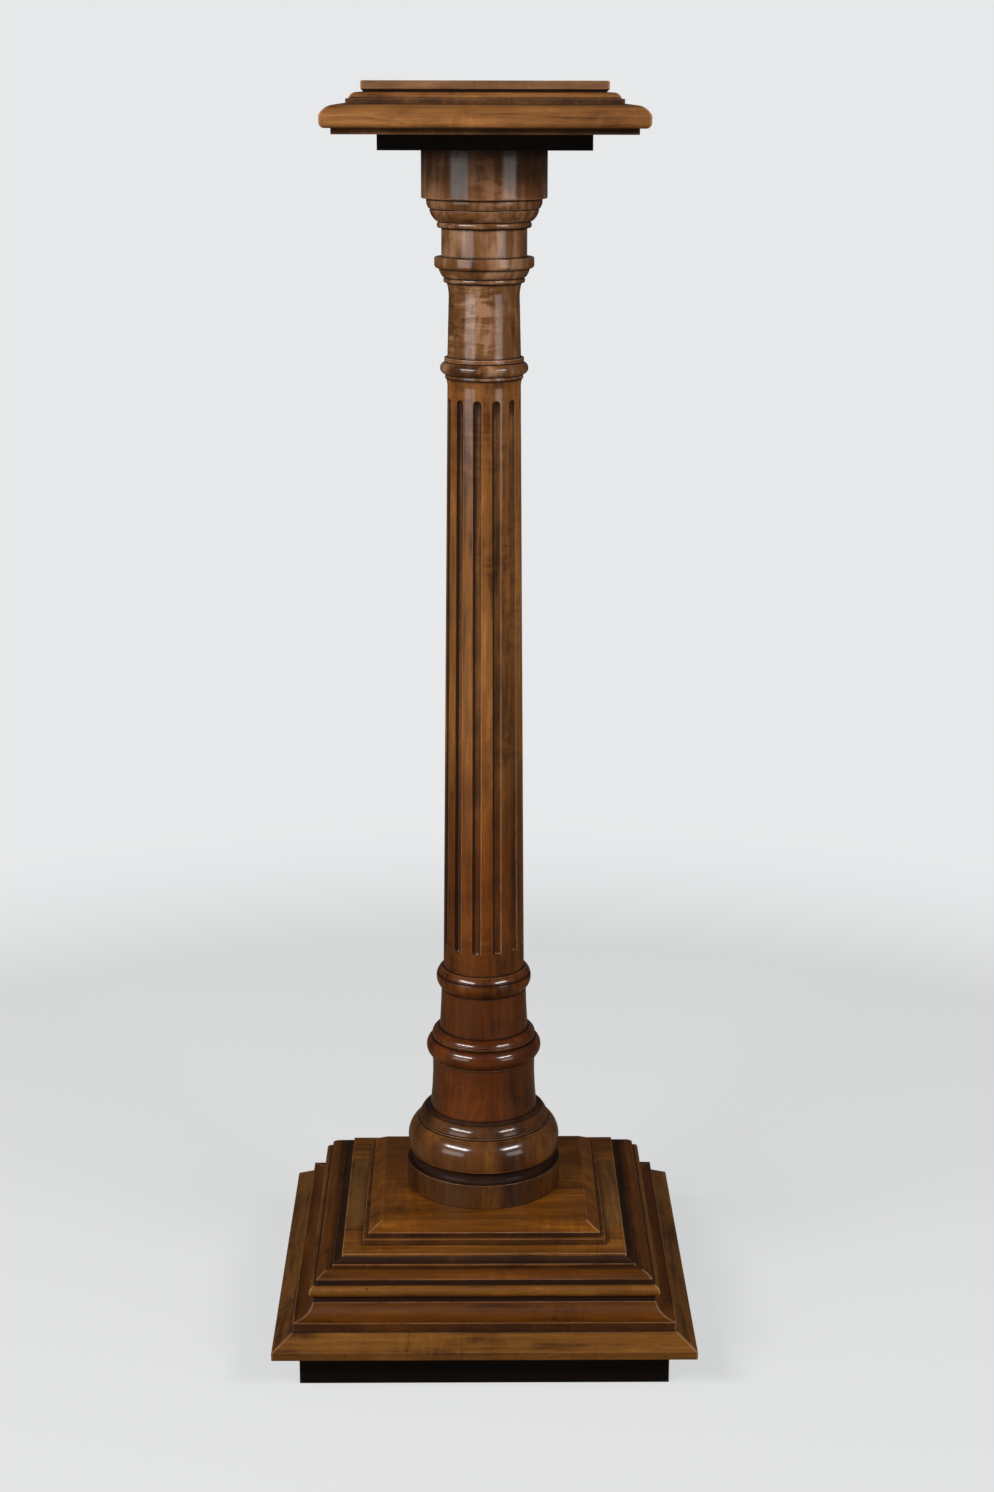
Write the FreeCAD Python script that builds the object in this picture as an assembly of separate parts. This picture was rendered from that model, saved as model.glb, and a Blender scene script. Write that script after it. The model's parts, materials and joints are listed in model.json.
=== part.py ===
import FreeCAD, Part
import math
import os

# Pedestal column stand in walnut: a black plinth, a stepped and moulded square base,
# a turned and fluted column in seven sections, and a stepped square top.
# Millimetres. The origin is the centre of the footprint on the floor, +Z is up,
# and the front of the stand faces -Y.

# ---------------------------------------------------------------- base, from the floor up
BASE_WIDTH = 381.0              # the bevelled slab, across its nose

PLINTH_HEIGHT = 34.5            # black plinth under the slab
PLINTH_SETBACK = 23.5           # from the slab's nose back to the plinth's face
PLINTH_RAIL_THICKNESS = 22.0
GLUE_BLOCK_LEG = 36.0           # triangular block inside each plinth corner
GLUE_BLOCK_LIFT = 4.0           # its clearance from the floor
GLUE_SCREW_NEAR = 6.0           # each block's two screws, from the backs of the two rails
GLUE_SCREW_FAR = 21.0

SLAB_THICKNESS = 19.5
SLAB_NOSE_HEIGHT = 8.0          # the nose is a flat band between two soft arrises
SLAB_NOSE_ROUND = 1.6
SLAB_BEVEL_RUN = 18.0           # how far the bevel runs in, up to the cove's foot

COVE_FOOT_HEIGHT = 8.3          # upright band under the hollow
COVE_RUN = 17.1                 # how far the hollow runs in
COVE_RISE = 12.2
COVE_HOLLOW = 4.6               # depth of the hollow below its chord
COVE_NECK_HEIGHT = 4.5          # small upright neck that the bead stands on
COVE_NECK_INSET = 0.8

BEAD_HEIGHT = 11.0              # half-round all the way round the base
BEAD_INSET = 1.6                # its root, behind the face of the neck below
STEP_INSET = 0.9                # the riser above, behind the bead's root

STEP_RISER = 4.5                # upright face under the ovolo
STEP_OVOLO_RUN = 8.7
STEP_OVOLO_RISE = 5.5
STEP_OVOLO_BULGE = 0.7

FRAME_LEDGE = 5.8               # flat ledge between the ovolo and the frame's lip
FRAME_LIP_HEIGHT = 3.0
FRAME_HOLLOW_RUN = 8.2          # hollow between the lip and the frame's upper arris
FRAME_HOLLOW_RISE = 3.6
FRAME_HOLLOW_DEPTH = 1.6
FRAME_ARRIS_HEIGHT = 2.4
FRAME_RAIL_WIDTH = 65.5
TENON_LENGTH = 22.0             # stile into rail
TENON_THICKNESS = 3.0
TENON_SHOULDER = 12.0
TENON_FIT = 0.1                 # clearance all round a tenon

PANEL_INSET = 18.2              # from the frame's upper arris in to the raised panel
PANEL_FOOT_HEIGHT = 5.2         # low step round the foot of the raised panel
PANEL_STEP = 4.8                # flat on top of that step
PANEL_RISER = 4.2
PANEL_BEVEL_RUN = 11.6
PANEL_BEVEL_RISE = 7.1

CORE_INSET = 25.0               # from the frame's lip in to the hidden core boards

# ---------------------------------------------------------------- column, from the base up
SPIGOT_RADIUS = 15.0            # turned spigot under each section of the column
SPIGOT_LENGTH = 30.0
FOOT_SPIGOT_RADIUS = 24.0       # heavier spigot that the column stands in the base with
FOOT_SPIGOT_LENGTH = 60.0
CAP_SPIGOT_LENGTH = 9.0         # short spigot up into the black under board
GLUE_GAP = 1.0                  # room for glue below a spigot's end
SPIGOT_FIT = 0.1                # radial clearance of every spigot

DISC_RADIUS = 72.4              # plain disc under the great torus
DISC_HEIGHT = 23.6
SCOTIA_HEIGHT = 11.1            # dark hollow between the disc and the torus
SCOTIA_INSET = 5.4
SCOTIA_HOLLOW = 1.5
TORUS_FOOT_RADIUS = 70.0        # the torus hangs a little over the hollow below it
TORUS_BELLY_RADIUS = 71.2
TORUS_BELLY_HEIGHT = 8.3
TORUS_BELLY_BULGE = 0.3
TORUS_TOP_RADIUS = 62.6
TORUS_SHOULDER_HEIGHT = 20.3
TORUS_SHOULDER_BULGE = 3.0
CUSHION_FILLET_RADIUS = 61.2    # thin fillet between the torus and the cushion
CUSHION_FILLET_HEIGHT = 2.0
CUSHION_FOOT_RADIUS = 60.6      # convex member above the torus
CUSHION_TOP_RADIUS = 55.4
CUSHION_HEIGHT = 8.7
CUSHION_BULGE = 0.9
FOOT_LEDGE_RADIUS = 51.4        # hollow ledge from the cushion in to the drum
FOOT_LEDGE_HEIGHT = 2.6
FOOT_LEDGE_HOLLOW = 0.5

LOWER_DRUM_FOOT_RADIUS = 50.2
LOWER_DRUM_RADIUS = 47.9
LOWER_DRUM_HEIGHT = 49.8
LOWER_DRUM_FLARE = 1.0          # how hollow the drum's flared side is
DRUM_FILLET_RADIUS = 49.4       # thin fillet between the drum and the ring's lower bead
DRUM_FILLET_HEIGHT = 1.6
RING_LOWER_FOOT_RADIUS = 49.6
RING_LOWER_TOP_RADIUS = 48.6
RING_LOWER_HEIGHT = 17.0
RING_LOWER_BULGE = 4.5

RING_UPPER_RADIUS = 48.2        # fillet and cone that the upper drum rises from
RING_UPPER_FILLET_HEIGHT = 2.6
RING_UPPER_CONE_HEIGHT = 5.7
RING_UPPER_CONE_BULGE = 1.4
UPPER_DRUM_FOOT_RADIUS = 41.4
UPPER_DRUM_TOP_RADIUS = 39.5
UPPER_DRUM_HEIGHT = 39.5
UPPER_DRUM_FLARE = 0.3

SHAFT_RING_RADIUS = 39.4        # bead at the foot of the fluted shaft
SHAFT_RING_HEIGHT = 20.6
SHAFT_RING_BULGE = 4.7
SHAFT_RING_LINE_HEIGHT = 14.6   # scribed line round the bead, above its foot
SHAFT_RING_LINE_DEPTH = 0.6
SHAFT_FOOT_RADIUS = 37.5
SHAFT_TOP_RADIUS = 32.3
SHAFT_LENGTH = 539.0            # from the bead to the top cove
SHAFT_COVE_HEIGHT = 7.0
SHAFT_COVE_RADIUS = 33.6
SHAFT_COVE_HOLLOW = 0.3
FLUTE_COUNT = 12
FLUTE_FIRST_ANGLE = -11.0       # degrees from the front, positive to the right
FLUTE_RADIUS = 4.2              # the gouge that cut the flutes
FLUTE_DEPTH = 3.2
FLUTE_FOOT_MARGIN = 20.0        # plain shaft below the flutes
FLUTE_TOP_MARGIN = 9.5          # plain shaft above the flutes

NECK_FILLET_RADIUS = 34.4
NECK_FILLET_HEIGHT = 3.0
NECK_BEAD_RADIUS = 34.6
NECK_BEAD_HEIGHT = 10.6
NECK_BEAD_BULGE = 4.2
NECK_UPPER_FILLET_RADIUS = 35.0
NECK_UPPER_FILLET_HEIGHT = 3.4
NECK_FOOT_RADIUS = 32.3
NECK_WAIST_RADIUS = 31.0
NECK_LENGTH = 51.4
NECK_FLARE_HEIGHT = 13.0
NECK_FLARE_RADIUS = 32.8
NECK_FLARE_HOLLOW = 0.6

COLLAR_BEAD_RADIUS = 34.8       # small bead that the collar section starts with
COLLAR_BEAD_HEIGHT = 4.2
COLLAR_BEAD_BULGE = 0.9
COLLAR_TAPER_FOOT_RADIUS = 36.4
COLLAR_TAPER_TOP_RADIUS = 39.8
COLLAR_TAPER_HEIGHT = 7.4
COLLAR_TAPER_BULGE = 0.5
COLLAR_BAND_RADIUS = 43.5
COLLAR_BAND_HEIGHT = 9.7
COLLAR_BAND_ROUND = 1.2
COLLAR_BAND_LOWER_ROUND = 3.0
COLLAR_NECK_RADIUS = 37.3
COLLAR_NECK_HEIGHT = 24.8

ASTRAGAL_RADIUS = 40.3          # small bead that the capital starts with
ASTRAGAL_HEIGHT = 5.0
ASTRAGAL_BULGE = 0.9
ECHINUS_FOOT_RADIUS = 41.8
ECHINUS_TOP_RADIUS = 47.6
ECHINUS_HEIGHT = 9.8
ECHINUS_BULGE = 1.1
ANNULET_FOOT_RADIUS = 48.0
ANNULET_TOP_RADIUS = 50.2
ANNULET_HEIGHT = 8.6
ANNULET_BULGE = 1.0
DRUM_RADIUS = 54.6
DRUM_HEIGHT = 42.1
QUIRK_HEIGHT = 0.7              # narrow sunk line between two members
QUIRK_DEPTH = 1.0
ARRIS_ROUND = 1.2               # softened edge of the turned bands

# ---------------------------------------------------------------- top, from the capital up
UNDER_BOARD_WIDTH = 178.4       # black square board
UNDER_BOARD_THICKNESS = 13.4

MAIN_BOARD_WIDTH = 268.6
MAIN_FILLET_WIDTH = 250.4
MAIN_FILLET_HEIGHT = 5.0
MAIN_LOWER_ROUND = 4.6          # small round under the nose
MAIN_NOSE_HEIGHT = 5.4
MAIN_THUMB_RUN = 12.6           # broad thumb round above the nose
MAIN_THUMB_RISE = 8.4
MAIN_THUMB_BULGE = 2.3

MIDDLE_BOARD_INSET = 20.8       # from the main board's nose in to the middle board
MIDDLE_FACE_HEIGHT = 4.8
MIDDLE_LEDGE = 2.6
MIDDLE_OVOLO_RUN = 6.0
MIDDLE_OVOLO_RISE = 5.0
MIDDLE_OVOLO_BULGE = 1.4

UPPER_BOARD_INSET = 11.9        # from the middle board's face in to the upper board
UPPER_HOLLOW_HEIGHT = 2.6       # sunk line under the upper board's edge
UPPER_HOLLOW_DEPTH = 2.4
UPPER_EDGE_HEIGHT = 6.6
UPPER_EDGE_ROUND = 1.3

# ---------------------------------------------------------------- wood screws
SCREW_RADIUS = 2.2
SCREW_HEAD_RADIUS = 4.4
SCREW_HEAD_HEIGHT = 2.6
SCREW_TIP_LENGTH = 5.0
SCREW_SLOT_WIDTH = 1.1
SCREW_SLOT_DEPTH = 1.2
SCREW_FIT = 0.1                 # clearance of a screw in its hole
BLOCK_SCREW_LENGTH = 42.0
CORE_SCREW_LENGTH = 58.0
CORE_SCREW_SPACING = 150.0
TOP_SCREW_LENGTH = 28.0
TOP_SCREW_SPACING = 140.0
CAPITAL_SCREW_LENGTH = 45.0
CAPITAL_SCREW_SPACING = 54.0

# ---------------------------------------------------------------- levels and half widths
SLAB_HALF = BASE_WIDTH / 2
PLINTH_HALF = SLAB_HALF - PLINTH_SETBACK
COVE_FOOT_HALF = SLAB_HALF - SLAB_BEVEL_RUN
COVE_TOP_HALF = COVE_FOOT_HALF - COVE_RUN
COVE_NECK_HALF = COVE_TOP_HALF - COVE_NECK_INSET
BEAD_HALF = COVE_NECK_HALF - BEAD_INSET
STEP_HALF = BEAD_HALF - STEP_INSET
STEP_TOP_HALF = STEP_HALF - STEP_OVOLO_RUN
LIP_HALF = STEP_TOP_HALF - FRAME_LEDGE
FRAME_HALF = LIP_HALF - FRAME_HOLLOW_RUN
FRAME_OPENING_HALF = LIP_HALF - FRAME_RAIL_WIDTH
PANEL_FOOT_HALF = FRAME_HALF - PANEL_INSET
CORE_HALF = LIP_HALF - CORE_INSET
MIDDLE_HALF = MAIN_BOARD_WIDTH / 2 - MIDDLE_BOARD_INSET
UPPER_HALF = MIDDLE_HALF - UPPER_BOARD_INSET

SLAB_Z = PLINTH_HEIGHT
COVE_Z = SLAB_Z + SLAB_THICKNESS
BEAD_Z = COVE_Z + COVE_FOOT_HEIGHT + COVE_RISE + COVE_NECK_HEIGHT
STEP_Z = BEAD_Z + BEAD_HEIGHT
FRAME_Z = STEP_Z + STEP_RISER + STEP_OVOLO_RISE
PANEL_Z = FRAME_Z + FRAME_LIP_HEIGHT + FRAME_HOLLOW_RISE + FRAME_ARRIS_HEIGHT
COLUMN_Z = PANEL_Z + PANEL_FOOT_HEIGHT + PANEL_RISER + PANEL_BEVEL_RISE

ORIGIN = FreeCAD.Vector(0, 0, 0)
UP = FreeCAD.Vector(0, 0, 1)
TOOL_REACH = 2.0                # how far a cutting solid runs past what it cuts
SAME_POINT = 1e-6               # two outline points closer than this are one
FULL_TURN = 360.0
QUARTER_TURN = 90.0
SIDES = {"front": 0, "right": 1, "back": 2, "left": 3}


# ---------------------------------------------------------------- drawing helpers
def edge_between(start, end, bulge):
    """Edge in the XZ plane; a bulge other than 0 bows it to the right of its way."""
    first = FreeCAD.Vector(start[0], 0, start[1])
    last = FreeCAD.Vector(end[0], 0, end[1])
    if bulge == 0:
        return Part.LineSegment(first, last).toShape()
    way = last - first
    sideways = FreeCAD.Vector(way.z, 0, -way.x).normalize()
    middle = (first + last) * 0.5 + sideways * bulge
    return Part.Arc(first, middle, last).toShape()


def outline_face(moves):
    """Closed face from (x, z) or (x, z, bulge) moves; the bulge belongs to the run up to its point."""
    edges = []
    for start, end in zip(moves, moves[1:] + moves[:1]):
        bulge = end[2] if len(end) == 3 else 0
        if math.dist(start[:2], end[:2]) > SAME_POINT:
            edges.append(edge_between(start, end, bulge))
    return Part.Face(Part.Wire(edges))


def climb(start, *steps):
    """Outline points from a start, each step a (run, rise) or (run, rise, bulge) from the last."""
    points = [start]
    for step in steps:
        x, z = points[-1][:2]
        points.append((x + step[0], z + step[1]) + tuple(step[2:]))
    return points


def both_sides(points):
    """Right-hand outline going up, then its mirror image coming down."""
    bulges = [point[2] if len(point) == 3 else 0 for point in points]
    left = [(-points[-1][0], points[-1][1])]
    for index in range(len(points) - 1, 0, -1):
        x, z = points[index - 1][:2]
        left.append((-x, z, bulges[index]))
    return points + left


def moulded_board(points):
    """Square board whose four edges have the same outline, given from the bottom up."""
    reach = 2 * (max(point[0] for point in points) + TOOL_REACH)
    face = outline_face(both_sides(points))
    along_y = face.extrude(FreeCAD.Vector(0, reach, 0))
    along_y.translate(FreeCAD.Vector(0, -reach / 2, 0))
    return along_y.common(turned_round(along_y, 1)).Solids[0]


def mitred_moulding(points, back_half, side):
    """One of four mitred lengths round a square; points are its face, back_half its back."""
    bottom, top = points[0][1], points[-1][1]
    reach = max(point[0] + (point[2] if len(point) == 3 else 0) for point in points) + TOOL_REACH
    section = outline_face([(back_half, bottom)] + points + [(back_half, top)])
    section.rotate(ORIGIN, UP, -QUARTER_TURN)
    length = section.extrude(FreeCAD.Vector(2 * reach, 0, 0))
    length.translate(FreeCAD.Vector(-reach, 0, 0))
    corners = [(0, 0), (-reach, -reach), (reach, -reach), (0, 0)]
    wedge = Part.Face(Part.makePolygon([FreeCAD.Vector(x, y, bottom) for x, y in corners]))
    piece = length.common(wedge.extrude(UP * (top - bottom))).Solids[0]
    return turned_round(piece, SIDES[side])


def square_board(width, bottom, thickness):
    """Plain square board centred on the column."""
    return Part.makeBox(width, width, thickness, FreeCAD.Vector(-width / 2, -width / 2, bottom))


def box_between(low, high):
    """Box from its lowest to its highest corner."""
    size = FreeCAD.Vector(*high) - FreeCAD.Vector(*low)
    return Part.makeBox(size.x, size.y, size.z, FreeCAD.Vector(*low))


def turned(moves):
    """Solid of revolution about the column's axis."""
    return outline_face(moves).revolve(ORIGIN, UP, FULL_TURN)


def spigot_outline(foot, radius, length):
    """Outline of the spigot under a section's foot, from the axis out to its shoulder."""
    return [(0, foot - length), (radius, foot - length), (radius, foot)]


def turned_section(members, spigot_radius=SPIGOT_RADIUS, spigot_length=SPIGOT_LENGTH):
    """Turned section with a spigot under its foot and a socket in its top, and its top level."""
    top = members[-1][1]
    socket_radius = SPIGOT_RADIUS + SPIGOT_FIT
    socket_floor = top - SPIGOT_LENGTH - GLUE_GAP
    socket = [(socket_radius, top), (socket_radius, socket_floor), (0, socket_floor)]
    return turned(spigot_outline(members[0][1], spigot_radius, spigot_length) + members + socket), top


def round_bow(radius):
    """Bulge of a quarter round beyond the chord between its ends."""
    return radius * (1 - math.sqrt(0.5))


def quirk(radius_below, radius_above):
    """Narrow sunk line between two turned members, as steps for climb."""
    return [(-QUIRK_DEPTH, 0), (0, QUIRK_HEIGHT), (radius_above - radius_below + QUIRK_DEPTH, 0)]


def screw_outline(length, extra):
    """Countersunk screw, head down at the origin, grown all round by extra."""
    shank, head = SCREW_RADIUS + extra, SCREW_HEAD_RADIUS + extra
    under_head = SCREW_HEAD_HEIGHT + extra
    tip_foot, tip = length - SCREW_TIP_LENGTH + extra, length + extra
    return [(0, 0), (head, 0), (shank, under_head), (shank, tip_foot), (0, tip)]


def wood_screw(length):
    """Slotted countersunk wood screw pointing up from the origin."""
    slot_reach = 2 * (SCREW_HEAD_RADIUS + TOOL_REACH)
    slot = Part.makeBox(slot_reach, SCREW_SLOT_WIDTH, SCREW_SLOT_DEPTH,
                        FreeCAD.Vector(-slot_reach / 2, -SCREW_SLOT_WIDTH / 2, 0))
    return turned(screw_outline(length, 0)).cut(slot)


def screw_hole(length):
    """Hole that a wood screw sits in."""
    return turned(screw_outline(length, SCREW_FIT))


def turned_round(shape, quarters):
    """Copy of a shape turned about the column's axis by quarter turns."""
    copy = shape.copy()
    copy.rotate(ORIGIN, UP, quarters * QUARTER_TURN)
    return copy


def placed(shape, x, y, z, point_down=False):
    """Copy of a shape moved to a place, upside down where it points down."""
    copy = shape.copy()
    if point_down:
        copy.rotate(ORIGIN, FreeCAD.Vector(1, 0, 0), 2 * QUARTER_TURN)
    copy.translate(FreeCAD.Vector(x, y, z))
    return copy


def at_corners(shape, spacing, z, point_down=False):
    """Four copies on a square grid centred on the column."""
    half = spacing / 2
    corners = [(-half, -half), (half, -half), (half, half), (-half, half)]
    return [placed(shape, x, y, z, point_down) for x, y in corners]


def cut_all(shape, tools):
    """Shape with every tool cut out of it."""
    return shape.cut(tools).Solids[0]


# ---------------------------------------------------------------- base
def plinth_rails():
    """Four mitred black rails that carry the stand."""
    face = [(PLINTH_HALF, 0), (PLINTH_HALF, PLINTH_HEIGHT)]
    back = PLINTH_HALF - PLINTH_RAIL_THICKNESS
    return {f"plinth_rail_{side}": mitred_moulding(face, back, side) for side in SIDES}


def block_screw_places(shape):
    """Copies of a screw or its hole: two in each glue block, one up into each slab length over it."""
    corner = PLINTH_HALF - PLINTH_RAIL_THICKNESS
    near, far = corner - GLUE_SCREW_NEAR, corner - GLUE_SCREW_FAR
    pair = [placed(shape, near, far, GLUE_BLOCK_LIFT), placed(shape, far, near, GLUE_BLOCK_LIFT)]
    return [turned_round(copy, turn) for turn in SIDES.values() for copy in pair]


def glue_blocks():
    """Triangular blocks that tie the plinth's corners to the slab."""
    corner = PLINTH_HALF - PLINTH_RAIL_THICKNESS
    inner = corner - GLUE_BLOCK_LEG
    points = [(corner, corner), (inner, corner), (corner, inner), (corner, corner)]
    face = Part.Face(Part.makePolygon([FreeCAD.Vector(x, y, GLUE_BLOCK_LIFT) for x, y in points]))
    block = face.extrude(UP * (PLINTH_HEIGHT - GLUE_BLOCK_LIFT))
    block = cut_all(block, block_screw_places(screw_hole(BLOCK_SCREW_LENGTH)))
    corners = ["back_right", "back_left", "front_left", "front_right"]
    return {f"plinth_block_{corner}": turned_round(block, turn) for turn, corner in enumerate(corners)}


def slab_edge():
    """Nose and bevel of the slab."""
    soft = SLAB_NOSE_ROUND
    bevel_rise = SLAB_THICKNESS - SLAB_NOSE_HEIGHT
    return climb((SLAB_HALF - soft, SLAB_Z), (soft, soft, round_bow(soft)), (0, SLAB_NOSE_HEIGHT - soft),
                 (-SLAB_BEVEL_RUN, bevel_rise))


def slab_mouldings():
    """Four mitred lengths of the bevelled slab."""
    holes = block_screw_places(screw_hole(BLOCK_SCREW_LENGTH))
    return {f"slab_{side}": cut_all(mitred_moulding(slab_edge(), CORE_HALF, side), holes) for side in SIDES}


def cove_mouldings():
    """Four mitred lengths with the upright foot, the hollow and the neck."""
    face = climb((COVE_FOOT_HALF, COVE_Z), (0, COVE_FOOT_HEIGHT), (-COVE_RUN, COVE_RISE, -COVE_HOLLOW),
                 (-COVE_NECK_INSET, 0), (0, COVE_NECK_HEIGHT))
    return {f"cove_moulding_{side}": mitred_moulding(face, CORE_HALF, side) for side in SIDES}


def bead_mouldings():
    """Four mitred half-round beads."""
    face = climb((BEAD_HALF, BEAD_Z), (0, BEAD_HEIGHT, BEAD_HEIGHT / 2))
    return {f"bead_moulding_{side}": mitred_moulding(face, CORE_HALF, side) for side in SIDES}


def step_mouldings():
    """Four mitred lengths with a riser and an ovolo."""
    face = climb((STEP_HALF, STEP_Z), (0, STEP_RISER), (-STEP_OVOLO_RUN, STEP_OVOLO_RISE, STEP_OVOLO_BULGE))
    return {f"step_moulding_{side}": mitred_moulding(face, CORE_HALF, side) for side in SIDES}


def core_boards():
    """Three hidden softwood boards that the mouldings are glued round."""
    levels = {"core_board_bottom": (SLAB_Z, COVE_Z), "core_board_middle": (COVE_Z, BEAD_Z),
              "core_board_top": (BEAD_Z, FRAME_Z)}
    holes = at_corners(screw_hole(CORE_SCREW_LENGTH), CORE_SCREW_SPACING, SLAB_Z)
    holes.append(foot_spigot_hole())
    boards = {}
    for name, (bottom, top) in levels.items():
        boards[name] = cut_all(square_board(2 * CORE_HALF, bottom, top - bottom), holes)
    return boards


def foot_spigot_hole():
    """Hole for the spigot that the column stands in the base with."""
    depth = FOOT_SPIGOT_LENGTH + GLUE_GAP
    return Part.makeCylinder(FOOT_SPIGOT_RADIUS + SPIGOT_FIT, depth, FreeCAD.Vector(0, 0, COLUMN_Z - depth))


def frame_tenon(fit, end_gap):
    """Bar that makes both tenons of the right stile, grown all round by fit and endways by end_gap."""
    middle = (FRAME_Z + PANEL_Z) / 2
    half_thick = TENON_THICKNESS / 2 + fit
    reach = FRAME_OPENING_HALF + TENON_LENGTH + end_gap
    near = FRAME_OPENING_HALF + TENON_SHOULDER - fit
    far = FRAME_HALF - TENON_SHOULDER + fit
    return box_between((near, -reach, middle - half_thick), (far, reach, middle + half_thick))


def frame_members():
    """Frame of two rails and two stiles, tenoned together round a plain field board."""
    plate = moulded_board(climb((LIP_HALF, FRAME_Z), (0, FRAME_LIP_HEIGHT),
                                (-FRAME_HOLLOW_RUN, FRAME_HOLLOW_RISE, -FRAME_HOLLOW_DEPTH),
                                (0, FRAME_ARRIS_HEIGHT)))
    reach, inner = LIP_HALF + TOOL_REACH, FRAME_OPENING_HALF
    mortise = frame_tenon(TENON_FIT, GLUE_GAP)
    mortises = [mortise, turned_round(mortise, 2)]
    rail_band = box_between((-reach, -reach, FRAME_Z), (reach, -inner, PANEL_Z))
    rail = cut_all(plate.common(rail_band), mortises)
    stile_band = box_between((inner, -inner, FRAME_Z), (reach, inner, PANEL_Z))
    stile = plate.common(stile_band).fuse(frame_tenon(0, 0)).removeSplitter().Solids[0]
    field = square_board(2 * inner, FRAME_Z, PANEL_Z - FRAME_Z)
    return {"frame_rail_front": rail, "frame_rail_back": turned_round(rail, 2),
            "frame_stile_right": stile, "frame_stile_left": turned_round(stile, 2),
            "frame_field_board": cut_all(field, [foot_spigot_hole()])}


def raised_panel():
    """Bevelled panel that the column stands on."""
    board = moulded_board(climb((PANEL_FOOT_HALF, PANEL_Z), (0, PANEL_FOOT_HEIGHT), (-PANEL_STEP, 0),
                                (0, PANEL_RISER), (-PANEL_BEVEL_RUN, PANEL_BEVEL_RISE)))
    return {"raised_panel": cut_all(board, [foot_spigot_hole()])}


# ---------------------------------------------------------------- column
def column_foot(foot):
    """Disc, scotia, great torus, fillet and cushion, with the heavy spigot into the base."""
    members = climb((DISC_RADIUS, foot), (0, DISC_HEIGHT), (-SCOTIA_INSET, 0),
                    (0, SCOTIA_HEIGHT, -SCOTIA_HOLLOW),
                    (TORUS_FOOT_RADIUS - DISC_RADIUS + SCOTIA_INSET, 0),
                    (TORUS_BELLY_RADIUS - TORUS_FOOT_RADIUS, TORUS_BELLY_HEIGHT, TORUS_BELLY_BULGE),
                    (TORUS_TOP_RADIUS - TORUS_BELLY_RADIUS, TORUS_SHOULDER_HEIGHT, TORUS_SHOULDER_BULGE),
                    (CUSHION_FILLET_RADIUS - TORUS_TOP_RADIUS, 0), (0, CUSHION_FILLET_HEIGHT),
                    *quirk(CUSHION_FILLET_RADIUS, CUSHION_FOOT_RADIUS),
                    (CUSHION_TOP_RADIUS - CUSHION_FOOT_RADIUS, CUSHION_HEIGHT, CUSHION_BULGE),
                    (FOOT_LEDGE_RADIUS - CUSHION_TOP_RADIUS, FOOT_LEDGE_HEIGHT, -FOOT_LEDGE_HOLLOW))
    return turned_section(members, FOOT_SPIGOT_RADIUS, FOOT_SPIGOT_LENGTH)


def lower_drum(foot):
    """Flared drum with the lower half of the double ring."""
    members = climb((LOWER_DRUM_FOOT_RADIUS, foot),
                    (LOWER_DRUM_RADIUS - LOWER_DRUM_FOOT_RADIUS, LOWER_DRUM_HEIGHT, -LOWER_DRUM_FLARE),
                    (DRUM_FILLET_RADIUS - LOWER_DRUM_RADIUS, 0), (0, DRUM_FILLET_HEIGHT),
                    (RING_LOWER_FOOT_RADIUS - DRUM_FILLET_RADIUS, 0),
                    (RING_LOWER_TOP_RADIUS - RING_LOWER_FOOT_RADIUS, RING_LOWER_HEIGHT, RING_LOWER_BULGE))
    return turned_section(members)


def upper_drum(foot):
    """Upper half of the double ring, a fillet and a cone, with the drum above it."""
    members = climb((RING_UPPER_RADIUS - QUIRK_DEPTH, foot), (0, QUIRK_HEIGHT), (QUIRK_DEPTH, 0),
                    (0, RING_UPPER_FILLET_HEIGHT), *quirk(RING_UPPER_RADIUS, RING_UPPER_RADIUS),
                    (UPPER_DRUM_FOOT_RADIUS - RING_UPPER_RADIUS, RING_UPPER_CONE_HEIGHT,
                     RING_UPPER_CONE_BULGE),
                    (UPPER_DRUM_TOP_RADIUS - UPPER_DRUM_FOOT_RADIUS, UPPER_DRUM_HEIGHT, -UPPER_DRUM_FLARE))
    return turned_section(members)


def flute_cutter(foot):
    """Round-ended cutter lying along the tapered shaft, at the front of the column."""
    slope = (SHAFT_TOP_RADIUS - SHAFT_FOOT_RADIUS) / SHAFT_LENGTH
    outside = FLUTE_RADIUS - FLUTE_DEPTH
    ends = []
    for height in (FLUTE_FOOT_MARGIN + FLUTE_RADIUS, SHAFT_LENGTH - FLUTE_TOP_MARGIN - FLUTE_RADIUS):
        radius = SHAFT_FOOT_RADIUS + slope * height + outside
        ends.append(FreeCAD.Vector(0, -radius, foot + height))
    way = ends[1] - ends[0]
    rod = Part.makeCylinder(FLUTE_RADIUS, way.Length, ends[0], way)
    balls = [Part.makeSphere(FLUTE_RADIUS, end) for end in ends]
    return rod.fuse(balls)


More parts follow.
